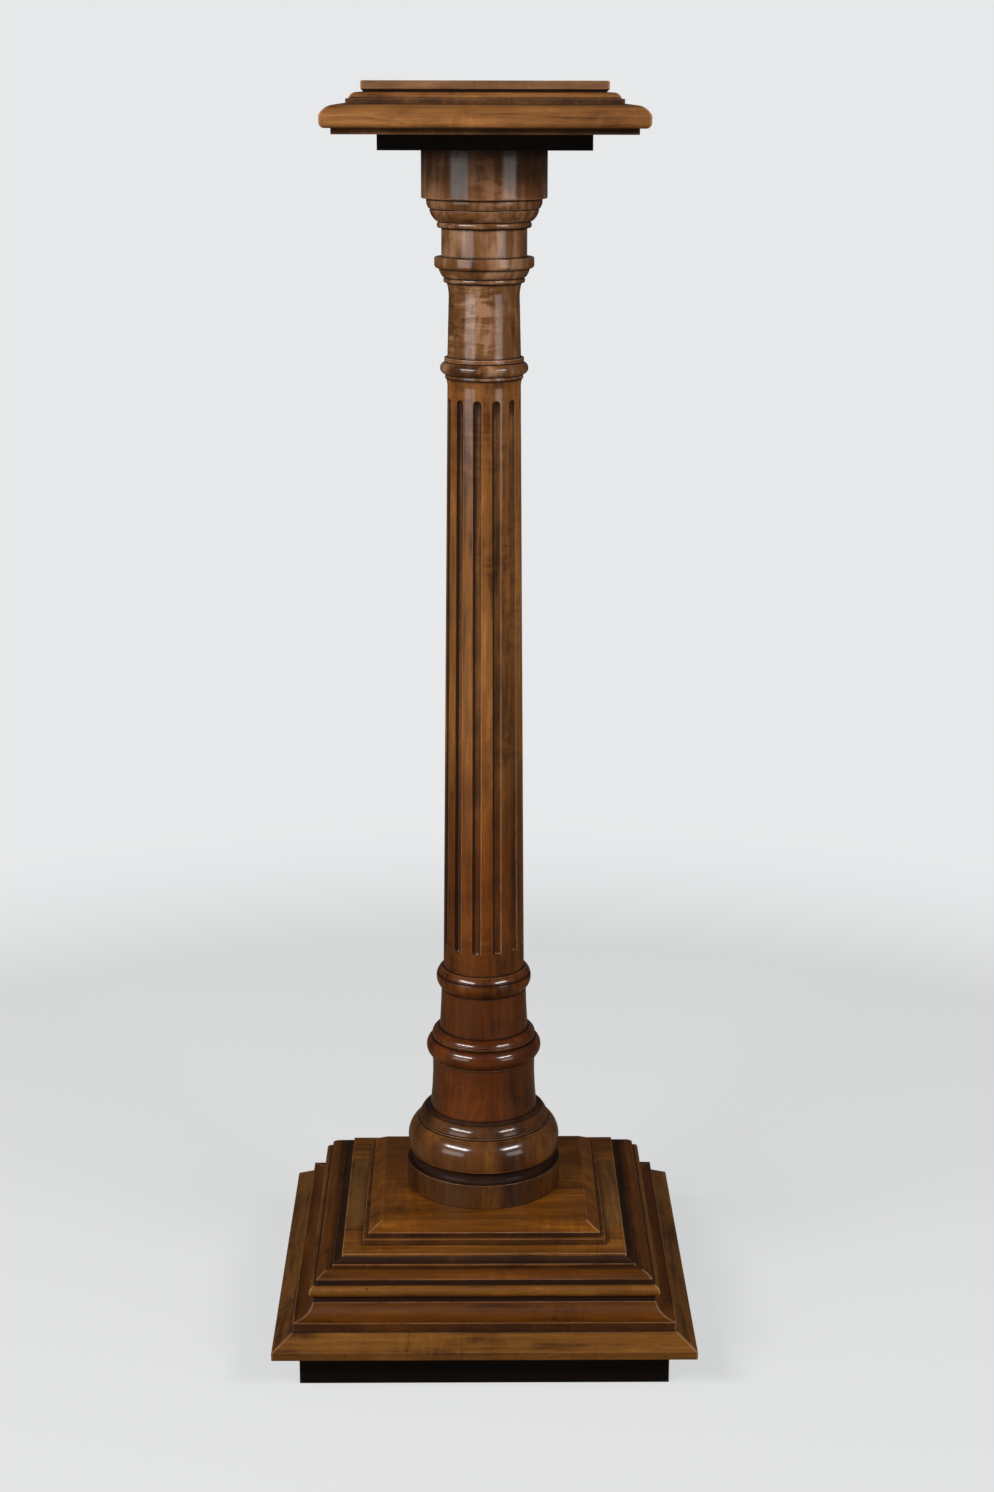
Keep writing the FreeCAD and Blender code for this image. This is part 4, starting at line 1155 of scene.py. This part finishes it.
    def build(self) -> None:
        """Every moulded piece of the base."""
        outlines = {"slab": self.slab_outline(), "cove_moulding": self.cove_outline(),
                    "bead_moulding": self.bead_outline(), "step_moulding": self.step_outline()}
        for kind, outline in outlines.items():
            self.build_lengths(kind, outline)
        self.build_frame()
        stations = self.panel_outline().stations()
        panel = Bench.solid("raised_panel", stations, Plan.SQUARE)
        Bench.mark_wear_dirt_and_shade(panel, stations, Plan.SQUARE)
        self.made["raised_panel"] = panel

    def dress(self) -> None:
        """Walnut on every piece, each with its grain along its length."""
        finishes = {"slab": SLAB_WALNUT, "cove": BASE_WALNUT, "bead": BEAD_WALNUT, "step": BASE_WALNUT,
                    "frame_rail": FRAME_WALNUT, "frame_stile": STILE_WALNUT, "raised_panel": PANEL_WALNUT}
        for seed, (name, piece) in enumerate(self.made.items()):
            grain = Grain.ALONG_Y if name.endswith(("_right", "_left")) else Grain.ALONG_X
            finish = next(each for kind, each in finishes.items() if name.startswith(kind))
            corners = Corners.SOLID if name.startswith(("frame", "raised")) else Corners.MITRED
            dress(piece, finish.material(name, grain, seed + BASE_SEED, corners))


# ---------------------------------------------------------------- column
@dataclass
class Section:
    """Turned section of the column, which stands on the shoulder of the one below with a spigot."""

    name: str
    below: str
    spigot_radius: float = 0.0150
    spigot_length: float = 0.0300
    socket_radius: float = 0.0151
    socket_depth: float = 0.0310
    quirk_height: float = 0.0007
    quirk_depth: float = 0.0010
    walnut: Walnut = UPPER_COLUMN_WALNUT

    @property
    def foot(self) -> float:
        """Height of the shoulder that the section stands on."""
        return top_of(self.below)

    def quirk(self, below: float, above: float) -> list[Run]:
        """Narrow sunk line between two members of these radii."""
        depth = self.quirk_depth
        return [Run(-depth, 0, dirt=0.9), Run(0, self.quirk_height, dirt=1.0),
                Run(above - below + depth, 0, dirt=0.8)]

    def members(self) -> tuple[float, list[Run]]:
        """Radius at the shoulder, and the runs up the outside from there."""
        raise NotImplementedError

    def outline(self) -> Outline:
        """Whole outline, from the spigot's end to the bottom of the socket."""
        radius, runs = self.members()
        top_radius = radius + sum(run.out for run in runs)
        start = (self.spigot_radius, self.foot - self.spigot_length)
        spigot = [Run(0, self.spigot_length), Run(radius - self.spigot_radius, 0)]
        seams = ((radius, self.foot), (top_radius, self.foot + sum(run.rise for run in runs)), *self.lines())
        return Outline(start, spigot + runs + self.upper_end(top_radius), seams=seams)

    def lines(self) -> tuple[Point, ...]:
        """Scribed lines that hold dirt: none, unless a section says otherwise."""
        return ()

    def upper_end(self, top_radius: float) -> list[Run]:
        """Runs across the top and down into the socket."""
        return [Run(self.socket_radius - top_radius, 0), Run(0, -self.socket_depth)]

    def build(self) -> Piece:
        """The turned piece, with its wear marked."""
        stations = self.outline().stations()
        piece = Bench.solid(self.name, stations, Plan.ROUND)
        self.carve(piece)
        lines = [Station(out, height, recess=1.0) for out, height in self.lines()]
        Bench.mark_wear_dirt_and_shade(piece, stations + lines, Plan.ROUND)
        return piece

    def carve(self, piece: Piece) -> None:
        """Carving on the turned piece: none, unless a section says otherwise."""

    def finish(self) -> Walnut:
        """Finish of the section."""
        return self.walnut

    def dress(self, piece: Piece, seed: int) -> None:
        """Walnut with its grain up the column."""
        dress(piece, self.finish().material(self.name, Grain.ALONG_Z, seed, Corners.ROUND))


@dataclass
class ColumnFoot(Section):
    """Disc, scotia, great torus, thin fillet and cushion."""

    name: str = "column_foot"
    below: str = "raised_panel"
    walnut: Walnut = FOOT_WALNUT
    spigot_radius: float = 0.0240
    spigot_length: float = 0.0600
    disc_radius: float = 0.0724
    disc_height: float = 0.0236
    scotia_height: float = 0.0111
    scotia_inset: float = 0.0054
    scotia_hollow: float = 0.0015
    torus_foot_radius: float = 0.0700
    belly_radius: float = 0.0712
    belly_height: float = 0.0083
    belly_bulge: float = 0.0003
    torus_top_radius: float = 0.0626
    shoulder_height: float = 0.0203
    shoulder_bulge: float = 0.0030
    fillet_radius: float = 0.0612
    fillet_height: float = 0.0020
    cushion_foot_radius: float = 0.0606
    cushion_top_radius: float = 0.0554
    cushion_height: float = 0.0087
    cushion_bulge: float = 0.0009
    ledge_radius: float = 0.0514
    ledge_height: float = 0.0026
    ledge_hollow: float = 0.0005

    def members(self) -> tuple[float, list[Run]]:
        """Radius at the shoulder, and the runs of this section's members."""
        scotia_radius = self.disc_radius - self.scotia_inset
        return self.disc_radius, [
            Run(0, self.disc_height, dirt=0.5), Run(-self.scotia_inset, 0, dirt=0.8),
            Run(0, self.scotia_height, -self.scotia_hollow, dirt=1.0),
            Run(self.torus_foot_radius - scotia_radius, 0, dirt=0.9),
            Run(self.belly_radius - self.torus_foot_radius, self.belly_height, self.belly_bulge),
            Run(self.torus_top_radius - self.belly_radius, self.shoulder_height, self.shoulder_bulge),
            Run(self.fillet_radius - self.torus_top_radius, 0), Run(0, self.fillet_height),
            *self.quirk(self.fillet_radius, self.cushion_foot_radius),
            Run(self.cushion_top_radius - self.cushion_foot_radius, self.cushion_height, self.cushion_bulge,
                dirt=0.4),
            Run(self.ledge_radius - self.cushion_top_radius, self.ledge_height, -self.ledge_hollow, dirt=0.7)]


@dataclass
class LowerDrum(Section):
    """Flared drum with the lower bead of the double ring."""

    name: str = "lower_drum"
    below: str = "column_foot"
    walnut: Walnut = LOWER_COLUMN_WALNUT
    foot_radius: float = 0.0502
    drum_radius: float = 0.0479
    drum_height: float = 0.0498
    drum_flare: float = 0.0010
    fillet_radius: float = 0.0494
    fillet_height: float = 0.0016
    bead_foot_radius: float = 0.0496
    bead_top_radius: float = 0.0486
    bead_height: float = 0.0170
    bead_bulge: float = 0.0045

    def members(self) -> tuple[float, list[Run]]:
        """Radius at the shoulder, and the runs of this section's members."""
        return self.foot_radius, [
            Run(self.drum_radius - self.foot_radius, self.drum_height, -self.drum_flare),
            Run(self.fillet_radius - self.drum_radius, 0), Run(0, self.fillet_height),
            Run(self.bead_foot_radius - self.fillet_radius, 0),
            Run(self.bead_top_radius - self.bead_foot_radius, self.bead_height, self.bead_bulge)]


@dataclass
class UpperDrum(Section):
    """Fillet and cone of the double ring, and the drum above them."""

    name: str = "upper_drum"
    below: str = "lower_drum"
    walnut: Walnut = LOWER_COLUMN_WALNUT
    ring_radius: float = 0.0482
    ring_fillet_height: float = 0.0026
    cone_height: float = 0.0057
    cone_bulge: float = 0.0014
    drum_foot_radius: float = 0.0414
    drum_top_radius: float = 0.0395
    drum_height: float = 0.0395
    drum_flare: float = 0.0003

    def members(self) -> tuple[float, list[Run]]:
        """Radius at the shoulder, and the runs of this section's members."""
        return self.ring_radius - self.quirk_depth, [
            Run(0, self.quirk_height), Run(self.quirk_depth, 0), Run(0, self.ring_fillet_height),
            *self.quirk(self.ring_radius, self.ring_radius),
            Run(self.drum_foot_radius - self.ring_radius, self.cone_height, self.cone_bulge),
            Run(self.drum_top_radius - self.drum_foot_radius, self.drum_height, -self.drum_flare)]


@dataclass
class FlutedShaft(Section):
    """Foot bead, tapered shaft with its stopped flutes, and the cove at its top."""

    name: str = "fluted_shaft"
    below: str = "upper_drum"
    bead_radius: float = 0.0394
    bead_height: float = 0.0206
    bead_bulge: float = 0.0047
    line_height: float = 0.0146
    line_depth: float = 0.0006
    shaft_foot_radius: float = 0.0375
    shaft_top_radius: float = 0.0323
    shaft_length: float = 0.5390
    cove_height: float = 0.0070
    cove_radius: float = 0.0336
    cove_hollow: float = 0.0003
    flute_count: int = 12
    flute_first: float = math.radians(-11)
    flute_radius: float = 0.0042
    flute_depth: float = 0.0032
    flute_foot_margin: float = 0.0200
    flute_top_margin: float = 0.0095
    line_sides: int = 8
    gouge_rings: int = 16

    def members(self) -> tuple[float, list[Run]]:
        """Radius at the shoulder, and the runs of this section's members."""
        return self.bead_radius, [
            Run(0, self.bead_height, self.bead_bulge),
            Run(self.shaft_foot_radius - self.bead_radius, 0),
            Run(self.shaft_top_radius - self.shaft_foot_radius, self.shaft_length),
            Run(self.cove_radius - self.shaft_top_radius, self.cove_height, -self.cove_hollow)]

    @property
    def line_radius(self) -> float:
        """Radius of the bead where the line is scribed round it."""
        half, bulge = self.bead_height / 2, self.bead_bulge
        round_radius = (half ** 2 + bulge ** 2) / (2 * bulge)
        drop = math.sqrt(round_radius ** 2 - (self.line_height - half) ** 2)
        return self.bead_radius + bulge - round_radius + drop

    @property
    def slope(self) -> float:
        """How much the shaft's radius changes for each metre that it rises."""
        return (self.shaft_top_radius - self.shaft_foot_radius) / self.shaft_length

    def gouge(self) -> Piece:
        """Round-ended cutter for the flute at the front of the shaft."""
        Bench.clear()
        start = self.flute_foot_margin + self.flute_radius
        rise = self.shaft_length - self.flute_top_margin - self.flute_radius - start
        offset = self.flute_radius - self.flute_depth
        radius = self.shaft_foot_radius + self.slope * start + offset
        foot = self.foot + self.bead_height + start
        bpy.ops.mesh.primitive_uv_sphere_add(segments=2 * self.gouge_rings, ring_count=self.gouge_rings,
                                             radius=self.flute_radius, location=(0, -radius, foot))
        gouge = Bench.begin("flute_gouge")
        Bench.select_where(gouge, lambda place: place.z > foot - Bench.merge_distance)
        run = (0, -self.slope * rise, rise)
        bpy.ops.mesh.extrude_region_move(TRANSFORM_OT_translate={"value": run})
        bpy.ops.mesh.select_all(action="SELECT")
        bpy.ops.mesh.normals_make_consistent(inside=False)
        bpy.ops.object.mode_set(mode="OBJECT")
        bpy.ops.object.transform_apply(location=True, rotation=True, scale=True)
        return gouge

    def carve(self, piece: Piece) -> None:
        """Cut the scribed line round the foot bead, and the flutes."""
        Bench.clear()
        bpy.ops.mesh.primitive_torus_add(major_radius=self.line_radius, minor_radius=self.line_depth,
                                         major_segments=Bench.round_sides, minor_segments=self.line_sides,
                                         location=(0, 0, self.foot + self.line_height))
        Bench.cut(piece, bpy.context.object)
        gouge = self.gouge()
        for index in range(self.flute_count):
            copy = Bench.copy(gouge, f"flute_gouge_{index}", 0)
            copy.rotation_euler.z = self.flute_first + index * math.tau / self.flute_count
            Bench.cut(piece, copy)
        bpy.data.objects.remove(gouge)
        bpy.ops.object.shade_smooth_by_angle(angle=Bench.smooth_angle)

    def lines(self) -> tuple[Point, ...]:
        """The line scribed round the foot bead."""
        return ((self.line_radius, self.foot + self.line_height),)

    def finish(self) -> Walnut:
        """Walnut that follows the flutes."""
        inset = self.flute_radius - self.flute_depth
        shaft_foot = self.foot + self.bead_height
        flutes = Flutes(first=self.flute_first, count=self.flute_count,
                        half_width=math.sqrt(self.flute_radius ** 2 - inset ** 2),
                        foot_radius=self.shaft_foot_radius, slope=self.slope, shaft_foot=shaft_foot,
                        low=shaft_foot + self.flute_foot_margin,
                        high=shaft_foot + self.shaft_length - self.flute_top_margin)
        return FlutedWalnut(flutes=flutes, **SHAFT_TIMBER)


@dataclass
class Neck(Section):
    """Ring of fillet, bead and fillet, and the plain tapered neck."""

    name: str = "neck"
    below: str = "fluted_shaft"
    fillet_radius: float = 0.0344
    fillet_height: float = 0.0030
    bead_radius: float = 0.0346
    bead_height: float = 0.0106
    bead_bulge: float = 0.0042
    upper_fillet_radius: float = 0.0350
    upper_fillet_height: float = 0.0034
    foot_radius: float = 0.0323
    waist_radius: float = 0.0310
    waist_length: float = 0.0514
    flare_height: float = 0.0130
    flare_radius: float = 0.0328
    flare_hollow: float = 0.0006

    def members(self) -> tuple[float, list[Run]]:
        """Radius at the shoulder, and the runs of this section's members."""
        return self.fillet_radius, [
            Run(0, self.fillet_height), *self.quirk(self.fillet_radius, self.bead_radius),
            Run(0, self.bead_height, self.bead_bulge),
            *self.quirk(self.bead_radius, self.upper_fillet_radius),
            Run(0, self.upper_fillet_height), Run(self.foot_radius - self.upper_fillet_radius, 0),
            Run(self.waist_radius - self.foot_radius, self.waist_length),
            Run(self.flare_radius - self.waist_radius, self.flare_height, -self.flare_hollow)]


@dataclass
class Collar(Section):
    """Small bead, taper and flat band, with a plain neck above them."""

    name: str = "collar"
    below: str = "neck"
    bead_radius: float = 0.0348
    bead_height: float = 0.0042
    bead_bulge: float = 0.0009
    taper_foot_radius: float = 0.0364
    taper_top_radius: float = 0.0398
    taper_height: float = 0.0074
    taper_bulge: float = 0.0005
    band_radius: float = 0.0435
    band_height: float = 0.0097
    band_round: float = 0.0012
    band_lower_round: float = 0.0030
    neck_radius: float = 0.0373
    neck_height: float = 0.0248

    def members(self) -> tuple[float, list[Run]]:
        """Radius at the shoulder, and the runs of this section's members."""
        upper, lower = self.band_round, self.band_lower_round
        return self.bead_radius, [
            Run(0, self.bead_height, self.bead_bulge),
            Run(self.taper_foot_radius - self.bead_radius, self.quirk_height),
            Run(self.taper_top_radius - self.taper_foot_radius, self.taper_height, self.taper_bulge),
            Run(self.band_radius - lower - self.taper_top_radius, 0), Run(lower, lower, lower * QUARTER_BOW),
            Run(0, self.band_height - upper - lower), Run(-upper, upper, upper * QUARTER_BOW),
            Run(self.neck_radius - self.band_radius + upper, 0), Run(0, self.neck_height)]


@dataclass
class Capital(Section):
    """Astragal, echinus, annulet and drum, with a short spigot up into the under board."""

    name: str = "capital"
    below: str = "collar"
    walnut: Walnut = CAPITAL_WALNUT
    astragal_radius: float = 0.0403
    astragal_height: float = 0.0050
    astragal_bulge: float = 0.0009
    echinus_foot_radius: float = 0.0418
    echinus_top_radius: float = 0.0476
    echinus_height: float = 0.0098
    echinus_bulge: float = 0.0011
    annulet_foot_radius: float = 0.0480
    annulet_top_radius: float = 0.0502
    annulet_height: float = 0.0086
    annulet_bulge: float = 0.0010
    drum_radius: float = 0.0546
    drum_height: float = 0.0421
    drum_round: float = 0.0012
    # height of the drum's top band that is darkened as a painted shadow of the under board
    painted_shadow_height: float = 0.0110
    cap_spigot: float = 0.0090

    def members(self) -> tuple[float, list[Run]]:
        """Radius at the shoulder, and the runs of this section's members."""
        soft = self.drum_round
        return self.astragal_radius, [
            Run(0, self.astragal_height, self.astragal_bulge),
            *self.quirk(self.astragal_radius, self.echinus_foot_radius),
            Run(self.echinus_top_radius - self.echinus_foot_radius, self.echinus_height, self.echinus_bulge),
            *self.quirk(self.echinus_top_radius, self.annulet_foot_radius),
            Run(self.annulet_top_radius - self.annulet_foot_radius, self.annulet_height, self.annulet_bulge),
            Run(self.drum_radius - soft - self.annulet_top_radius, 0),
            Run(soft, soft, soft * QUARTER_BOW, rub=0.7), Run(0, self.drum_height - soft - self.painted_shadow_height),
            # painted shadow: the drum's top band is darkened as if in the under board's shade
            Run(0, self.painted_shadow_height, dirt=0.8)]

    def upper_end(self, top_radius: float) -> list[Run]:
        """Runs across the top and up the short spigot."""
        return [Run(self.spigot_radius - top_radius, 0), Run(0, self.cap_spigot)]


# ---------------------------------------------------------------- top
@dataclass
class Top:
    """Three walnut boards stacked on the black under board."""

    main_half: float = 0.1343
    fillet_half: float = 0.1252
    fillet_height: float = 0.0050
    lower_round: float = 0.0046
    nose_height: float = 0.0054
    thumb_run: float = 0.0126
    thumb_bulge: float = 0.0023
    middle_inset: float = 0.0208
    middle_face: float = 0.0048
    middle_ledge: float = 0.0026
    ovolo_run: float = 0.0060
    ovolo_bulge: float = 0.0014
    upper_inset: float = 0.0119
    hollow_height: float = 0.0026
    hollow_depth: float = 0.0024
    edge_round: float = 0.0013
    margin: float = 0.0040
    made: dict[str, Piece] = field(default_factory=dict)

    def outlines(self) -> dict[str, Outline]:
        """Edge of each walnut board, by node name."""
        soft, edge = self.lower_round, self.edge_round
        main_z, middle_z = top_of("under_board"), top_of("main_top_board")
        upper_z = top_of("middle_top_board")
        main_rise = middle_z - main_z - self.fillet_height - soft - self.nose_height
        middle_half = self.main_half - self.middle_inset
        upper_half = middle_half - self.upper_inset
        upper_face = top_of("upper_top_board") - upper_z - self.hollow_height - edge
        middle_foot, upper_foot = (middle_half, middle_z), (upper_half - self.hollow_depth, upper_z)
        middle_top = middle_half - self.middle_ledge - self.ovolo_run
        return {
            "main_top_board": Outline((self.fillet_half - self.margin, main_z), [
                Run(self.margin, 0), Run(0, self.fillet_height, dirt=0.7),
                Run(self.main_half - soft - self.fillet_half, 0, dirt=0.8),
                Run(soft, soft, soft * QUARTER_BOW, dirt=0.25), Run(0, self.nose_height),
                Run(-self.thumb_run, main_rise, self.thumb_bulge),
                Run(self.thumb_run - self.middle_inset, 0)], seams=(middle_foot,)),
            "middle_top_board": Outline(middle_foot, [
                Run(0, self.middle_face, dirt=0.62), Run(-self.middle_ledge, 0, dirt=0.3),
                Run(-self.ovolo_run, upper_z - middle_z - self.middle_face, self.ovolo_bulge, dirt=0.25),
                Run(upper_foot[0] - middle_top, 0)], seams=(middle_foot, upper_foot)),
            "upper_top_board": Outline(upper_foot, [
                Run(self.hollow_depth, self.hollow_height, dirt=0.95), Run(0, upper_face),
                Run(-edge, edge, edge * QUARTER_BOW), Run(-self.margin, 0)], seams=(upper_foot,))}

    def build(self) -> None:
        """Every walnut board of the top."""
        for name, outline in self.outlines().items():
            stations = outline.stations()
            board = Bench.solid(name, stations, Plan.SQUARE)
            Bench.mark_wear_dirt_and_shade(board, stations, Plan.SQUARE)
            self.made[name] = board

    def dress(self) -> None:
        """Walnut with its grain across the front."""
        for seed, (name, board) in enumerate(self.made.items()):
            finish = UPPER_BOARD_WALNUT if name == "upper_top_board" else TOP_WALNUT
            dress(board, finish.material(name, Grain.ALONG_X, seed + TOP_SEED, Corners.SOLID))


def dress_joinery() -> None:
    """Finish the pieces whose CAD shape stays: black pieces, hidden softwood and screws."""
    finishes = {"black_lacquer": BLACK_LACQUER, "hidden_softwood": SOFTWOOD, "steel_screws": STEEL}
    for part in frame["record"]["subparts"]:
        finish = finishes.get(part["material_slot"])
        if finish:
            dress(frame["nodes"][part["node"]], finish.material(part["node"]))


# ---------------------------------------------------------------- studio
@dataclass(frozen=True)
class Studio:
    """Floor, lamps, world and camera.

    lamps gives the side, the width and the power of each key lamp. A dimmer lamp hangs under each, and its
    width and power are shares of the key lamp's.
    """

    camera_place: Place = (-0.013, -2.195, 1.1366)
    camera_tilt: float = math.radians(90 - 14.91)
    camera_turn: float = math.radians(-0.62)
    camera_roll: float = math.radians(-0.12)
    lens: float = 60.0
    floor_radius: float = 14.0
    floor_sides: int = 96
    floor_colour: Colour = (0.85, 0.85, 0.84, 1)
    floor_roughness: float = 0.8
    floor_specular: float = 0.1
    bounce_colour: Colour = (0.22, 0.16, 0.10, 1)
    distance_colour: Colour = (0.80, 0.81, 0.82, 1)
    near_glow: float = 0.66
    fade: Span = (0.15, 1.6)
    world_light: float = 0.075
    lamps: tuple[tuple[int, float, float], ...] = ((-1, 2.0, 74), (1, 1.4, 47))
    lamp_out: float = 1.95
    lamp_front: float = 1.85
    key_height: float = 2.20
    key_aim: float = 0.6
    key_tall: float = 0.40
    sheen_height: float = 0.70
    sheen_tall: float = 0.80
    sheen_width: float = 0.8
    sheen_power: float = 0.18

    def build(self) -> None:
        """Set up the whole studio."""
        self.build_floor()
        self.build_lamps()
        self.build_world()
        self.build_camera()
        bpy.context.scene.view_settings.view_transform = "Standard"

    def build_floor(self) -> None:
        """Plain pale floor."""
        Bench.clear()
        bpy.ops.mesh.primitive_circle_add(vertices=self.floor_sides, radius=self.floor_radius,
                                          fill_type="NGON", location=(0, 0, 0))
        floor = bpy.context.object
        floor.name = "floor"
        dress(floor, self.floor_finish())

    def floor_finish(self) -> Material:
        """Pale floor that keeps the stand's shadow and fades into the pale distance."""
        material, tree, shader = new_material("floor")
        seen = tree.seen()
        tree.fill(shader, Base_Color=tree.blend(seen, self.bounce_colour, self.floor_colour),
                  Roughness=self.floor_roughness, Specular_IOR_Level=self.floor_specular)
        far = tree.between(tree.length(tree.place()), *self.fade)
        glow = tree.fill(tree.add("ShaderNodeEmission"), Color=self.distance_colour)
        mix = tree.add("ShaderNodeMixShader")
        share = tree.times(tree.most(far, self.near_glow), seen)
        for socket, value in zip(mix.inputs, (share, shader.outputs[0], glow.outputs[0])):
            tree.feed(socket, value)
        tree.fill(material.node_tree.nodes["Material Output"], Surface=mix.outputs[0])
        return material

    @staticmethod
    def lamp(name: str, place: Place, aim: float, size: tuple[float, float], power: float) -> None:
        """Soft lamp.

        Args:
            name: Its name.
            place: Where it stands.
            aim: Height on the column's axis that it is turned towards.
            size: Its width and its height.
            power: Its power in watts.
        """
        data = bpy.data.lights.new(name, "AREA")
        data.shape = "RECTANGLE"
        data.size, data.size_y = size
        data.energy = power
        lamp = bpy.data.objects.new(name, data)
        lamp.location = place
        lamp.rotation_euler = (Vector((0, 0, aim)) - Vector(place)).to_track_quat("-Z", "Y").to_euler()
        bpy.context.collection.objects.link(lamp)

    def build_lamps(self) -> None:
        """High soft lamp on each side of the camera, and a tall dim one under each for the column's sheen."""
        for side, width, power in self.lamps:
            spot = (self.lamp_out * side, -self.lamp_front)
            self.lamp(f"lamp_{side}", (*spot, self.key_height), self.key_aim, (width, self.key_tall), power)
            self.lamp(f"sheen_{side}", (*spot, self.sheen_height), self.sheen_height,
                      (width * self.sheen_width, self.sheen_tall), self.sheen_power * power)

    def build_world(self) -> None:
        """Surroundings that the camera sees pale, and that light the stand and its reflections dimly."""
        world = bpy.data.worlds.new("studio")
        bpy.context.scene.world = world
        world.use_nodes = True
        tree = Tree(world.node_tree)
        strength = tree.add("ShaderNodeMix", data_type="FLOAT")
        tree.fill(strength, Factor=tree.seen(), A=self.world_light, B=1.0)
        tree.fill(world.node_tree.nodes["Background"], Color=self.distance_colour,
                  Strength=strength.outputs["Result"])

    def build_camera(self) -> None:
        """Camera at the photograph's viewing angle."""
        data = bpy.data.cameras.new("camera")
        data.lens = self.lens
        camera = bpy.data.objects.new("camera", data)
        camera.location = self.camera_place
        camera.rotation_euler = (self.camera_tilt, self.camera_roll, self.camera_turn)
        bpy.context.collection.objects.link(camera)
        bpy.context.scene.camera = camera


def main() -> None:
    """Build the stand, dress it and set up the studio."""
    logging.basicConfig(level=logging.INFO, format="%(message)s")
    base, top = Base(), Top()
    base.build()
    base.dress()
    top.build()
    top.dress()
    made = {**base.made, **top.made}
    column = (ColumnFoot(), LowerDrum(), UpperDrum(), FlutedShaft(), Neck(), Collar(), Capital())
    for seed, section in enumerate(column):
        made[section.name] = section.build()
        section.dress(made[section.name], seed + COLUMN_SEED)
    dress_joinery()
    for name, piece in made.items():
        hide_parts(name)
        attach(piece, BODY)
        log.info("%s: %d faces", name, len(piece.data.polygons))
    Studio().build()


if __name__ == "__main__":
    main()
